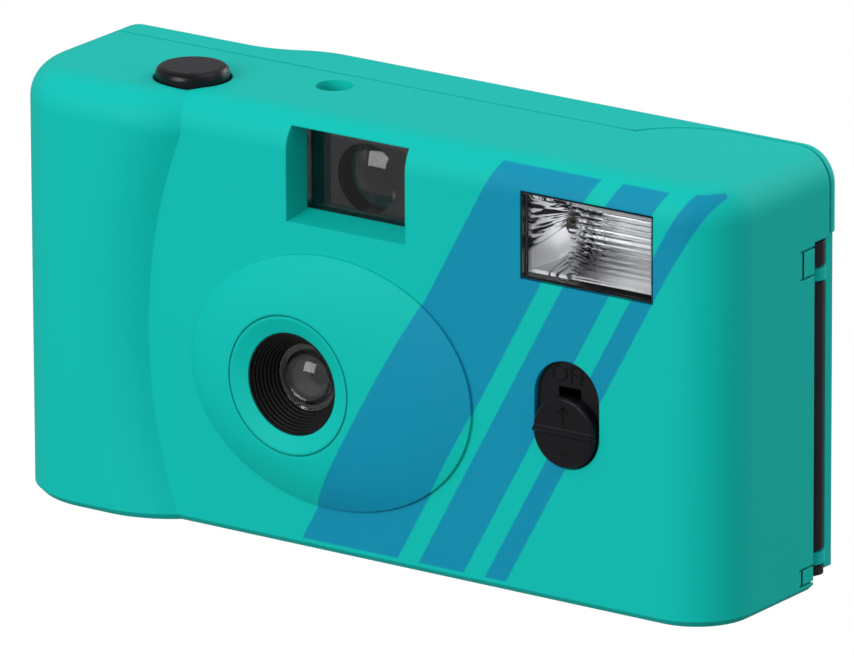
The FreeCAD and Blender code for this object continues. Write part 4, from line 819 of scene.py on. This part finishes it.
# %% [markdown]
# ## Light seals
# Light must not creep in round the film door. Real cameras have soft foam glued inside the door's ends,
# and two bars with rounded edges and a rough, deep grain stand for it. They swing with the door.
# %% Foam on the door
FOAM_LOW, FOAM_HIGH, FOAM_EDGE = 6.0, 44.0, 0.25
HINGE_END = (39.8, 2.4, 1.1, 28.4)       # place along x, width, thickness and depth
LATCH_END = (-54.6, 2.0, 0.8, 25.0)

join([add_bar((x, FOAM_LOW), (x, FOAM_HIGH), width, thick, depth)
      for x, width, thick, depth in (HINGE_END, LATCH_END)])
bevel(FOAM_EDGE)
finish_piece("door_foam", "door", "foam")

# %% [markdown]
# ## Groove round the lens ring
# The ring sits flush in the boss, and only a shallow moulded line shows where it ends. As a solid there
# is a clear gap, so a thin bead closes it, and its darker teal is painted shade that draws the line.
# %% Bead in the groove
GROOVE_R, BEAD_R, GROOVE_DEPTH = 9.91, 0.12, -2.62

clear_selection()
bpy.ops.mesh.primitive_torus_add(major_segments=128, minor_segments=8, major_radius=GROOVE_R * MM,
                                 minor_radius=BEAD_R * MM)
bead = bpy.context.object
bead.data.transform(Matrix.Translation(row(LENS_X, GROOVE_DEPTH, LENS_Z)) @ FACE_FRONT)
# The bead's darker teal is painted shade in the groove.
finish_piece("ring_groove", "housing", "groove")

# %% [markdown]
# ## Camera
# The photograph was taken with a long lens from a little under two metres, so its lines hardly converge.
# Direction, distance and lens were worked out together from its outline and straight edges.
# %% The photograph's view
AZIMUTH, ELEVATION, ROLL = math.radians(35.15), math.radians(17.35), math.radians(-0.24)
DISTANCE = 1.88769   # metres
FOCAL_PIXELS, PHOTO_WIDTH, SENSOR = 13758.8, 854.0, 36.0

target = row(0.62, 16.0, 29.21)
level = math.cos(ELEVATION)
back = Vector((math.sin(AZIMUTH) * level, -math.cos(AZIMUTH) * level, math.sin(ELEVATION)))
right = Vector((math.cos(AZIMUTH), math.sin(AZIMUTH), 0.0))
up = back.cross(right)
lens = bpy.data.cameras.new("photo_camera")
lens.lens = FOCAL_PIXELS * SENSOR / PHOTO_WIDTH
lens.sensor_width = SENSOR
lens.clip_start = 0.1
camera = bpy.data.objects.new("photo_camera", lens)
bpy.context.scene.collection.objects.link(camera)
basis = Matrix((right, up, back)).transposed().to_4x4()
seat = Matrix.Translation(target + back * DISTANCE)
camera.matrix_world = seat @ basis @ Matrix.Rotation(ROLL, 4, "Z")
bpy.context.scene.camera = camera
print("camera:", round(DISTANCE, 2), "m away, lens", round(lens.lens), "mm")

# %% [markdown]
# ## Lamps
# The photograph is lit softly from the front. The key lamp stands in front, a little to the left and
# above. Weaker ones stand above and to the right, and another behind lights the camera's back.
# %% Four soft lamps
AIM = Vector((0, 0, 0.03))
LAMPS = {
    "key": ((-0.22, -1.15, 0.5), (0.8, 0.6), 9.0),
    "top": ((0.1, 0.25, 0.75), (0.7, 0.5), 1.1),
    "side": ((0.75, 0.05, 0.2), (0.4, 0.5), 0.25),
    "behind": ((0.3, 1.1, 0.35), (0.8, 0.6), 5.0),
}   # where it stands, its width and height, and its power, in metres and watts

for name, (stand, size, power) in LAMPS.items():
    data = bpy.data.lights.new(name, "AREA")
    data.shape = "RECTANGLE"
    data.size, data.size_y = size
    data.energy = power
    lamp = bpy.data.objects.new(name, data)
    bpy.context.scene.collection.objects.link(lamp)
    lamp.location = stand
    lamp.rotation_euler = (AIM - Vector(stand)).to_track_quat("-Z", "Y").to_euler()
    print("lamp:", name, power, "W")

# %% [markdown]
# ## Room
# The photograph has a white ground, but a white room would wash out the blacks. So the room that lights
# the camera is grey, darker below, and a darker grey where it is mirrored. It is white where it is seen
# straight or through clear pieces, and partly white in what they show after a reflection.
# %% Grey room with a white ground
FLOOR_GREY, ROOM_GREY = (0.2, 0.2, 0.2, 1), (0.54, 0.54, 0.55, 1)
MIRRORED_GREY, WHITE = (0.3, 0.3, 0.31, 1), (1, 1, 1, 1)
FLOOR_UP_TO, WALL_FROM = -0.35, 0.1
THROUGH_MIRRORED = 0.4
UNDER_ONE_BOUNCE = 0.5

world = bpy.data.worlds.new("room")
bpy.context.scene.world = world
world.use_nodes = True
tree = world.node_tree
tree.nodes.clear()
path = add_node(tree, "ShaderNodeLightPath").outputs
height = split(tree, add_node(tree, "ShaderNodeTexCoord").outputs["Generated"])[2]
room = mix_colour(tree, ramp(tree, height, FLOOR_UP_TO, WALL_FROM), FLOOR_GREY, ROOM_GREY)
room = mix_colour(tree, path["Is Glossy Ray"], room, MIRRORED_GREY)
straight = maths(tree, "LESS_THAN", path["Glossy Depth"], UNDER_ONE_BOUNCE)
whiteness = plus(tree, THROUGH_MIRRORED, times(tree, straight, 1.0 - THROUGH_MIRRORED))
seen = maths(tree, "MAXIMUM", path["Is Camera Ray"], times(tree, path["Is Transmission Ray"], whiteness))
backdrop = add_node(tree, "ShaderNodeBackground", Color=mix_colour(tree, seen, room, WHITE), Strength=1.0)
world_out = add_node(tree, "ShaderNodeOutputWorld")
tree.links.new(backdrop.outputs[0], world_out.inputs[0])

bpy.context.scene.view_settings.view_transform = "Standard"
print("room:", len(tree.nodes), "nodes")
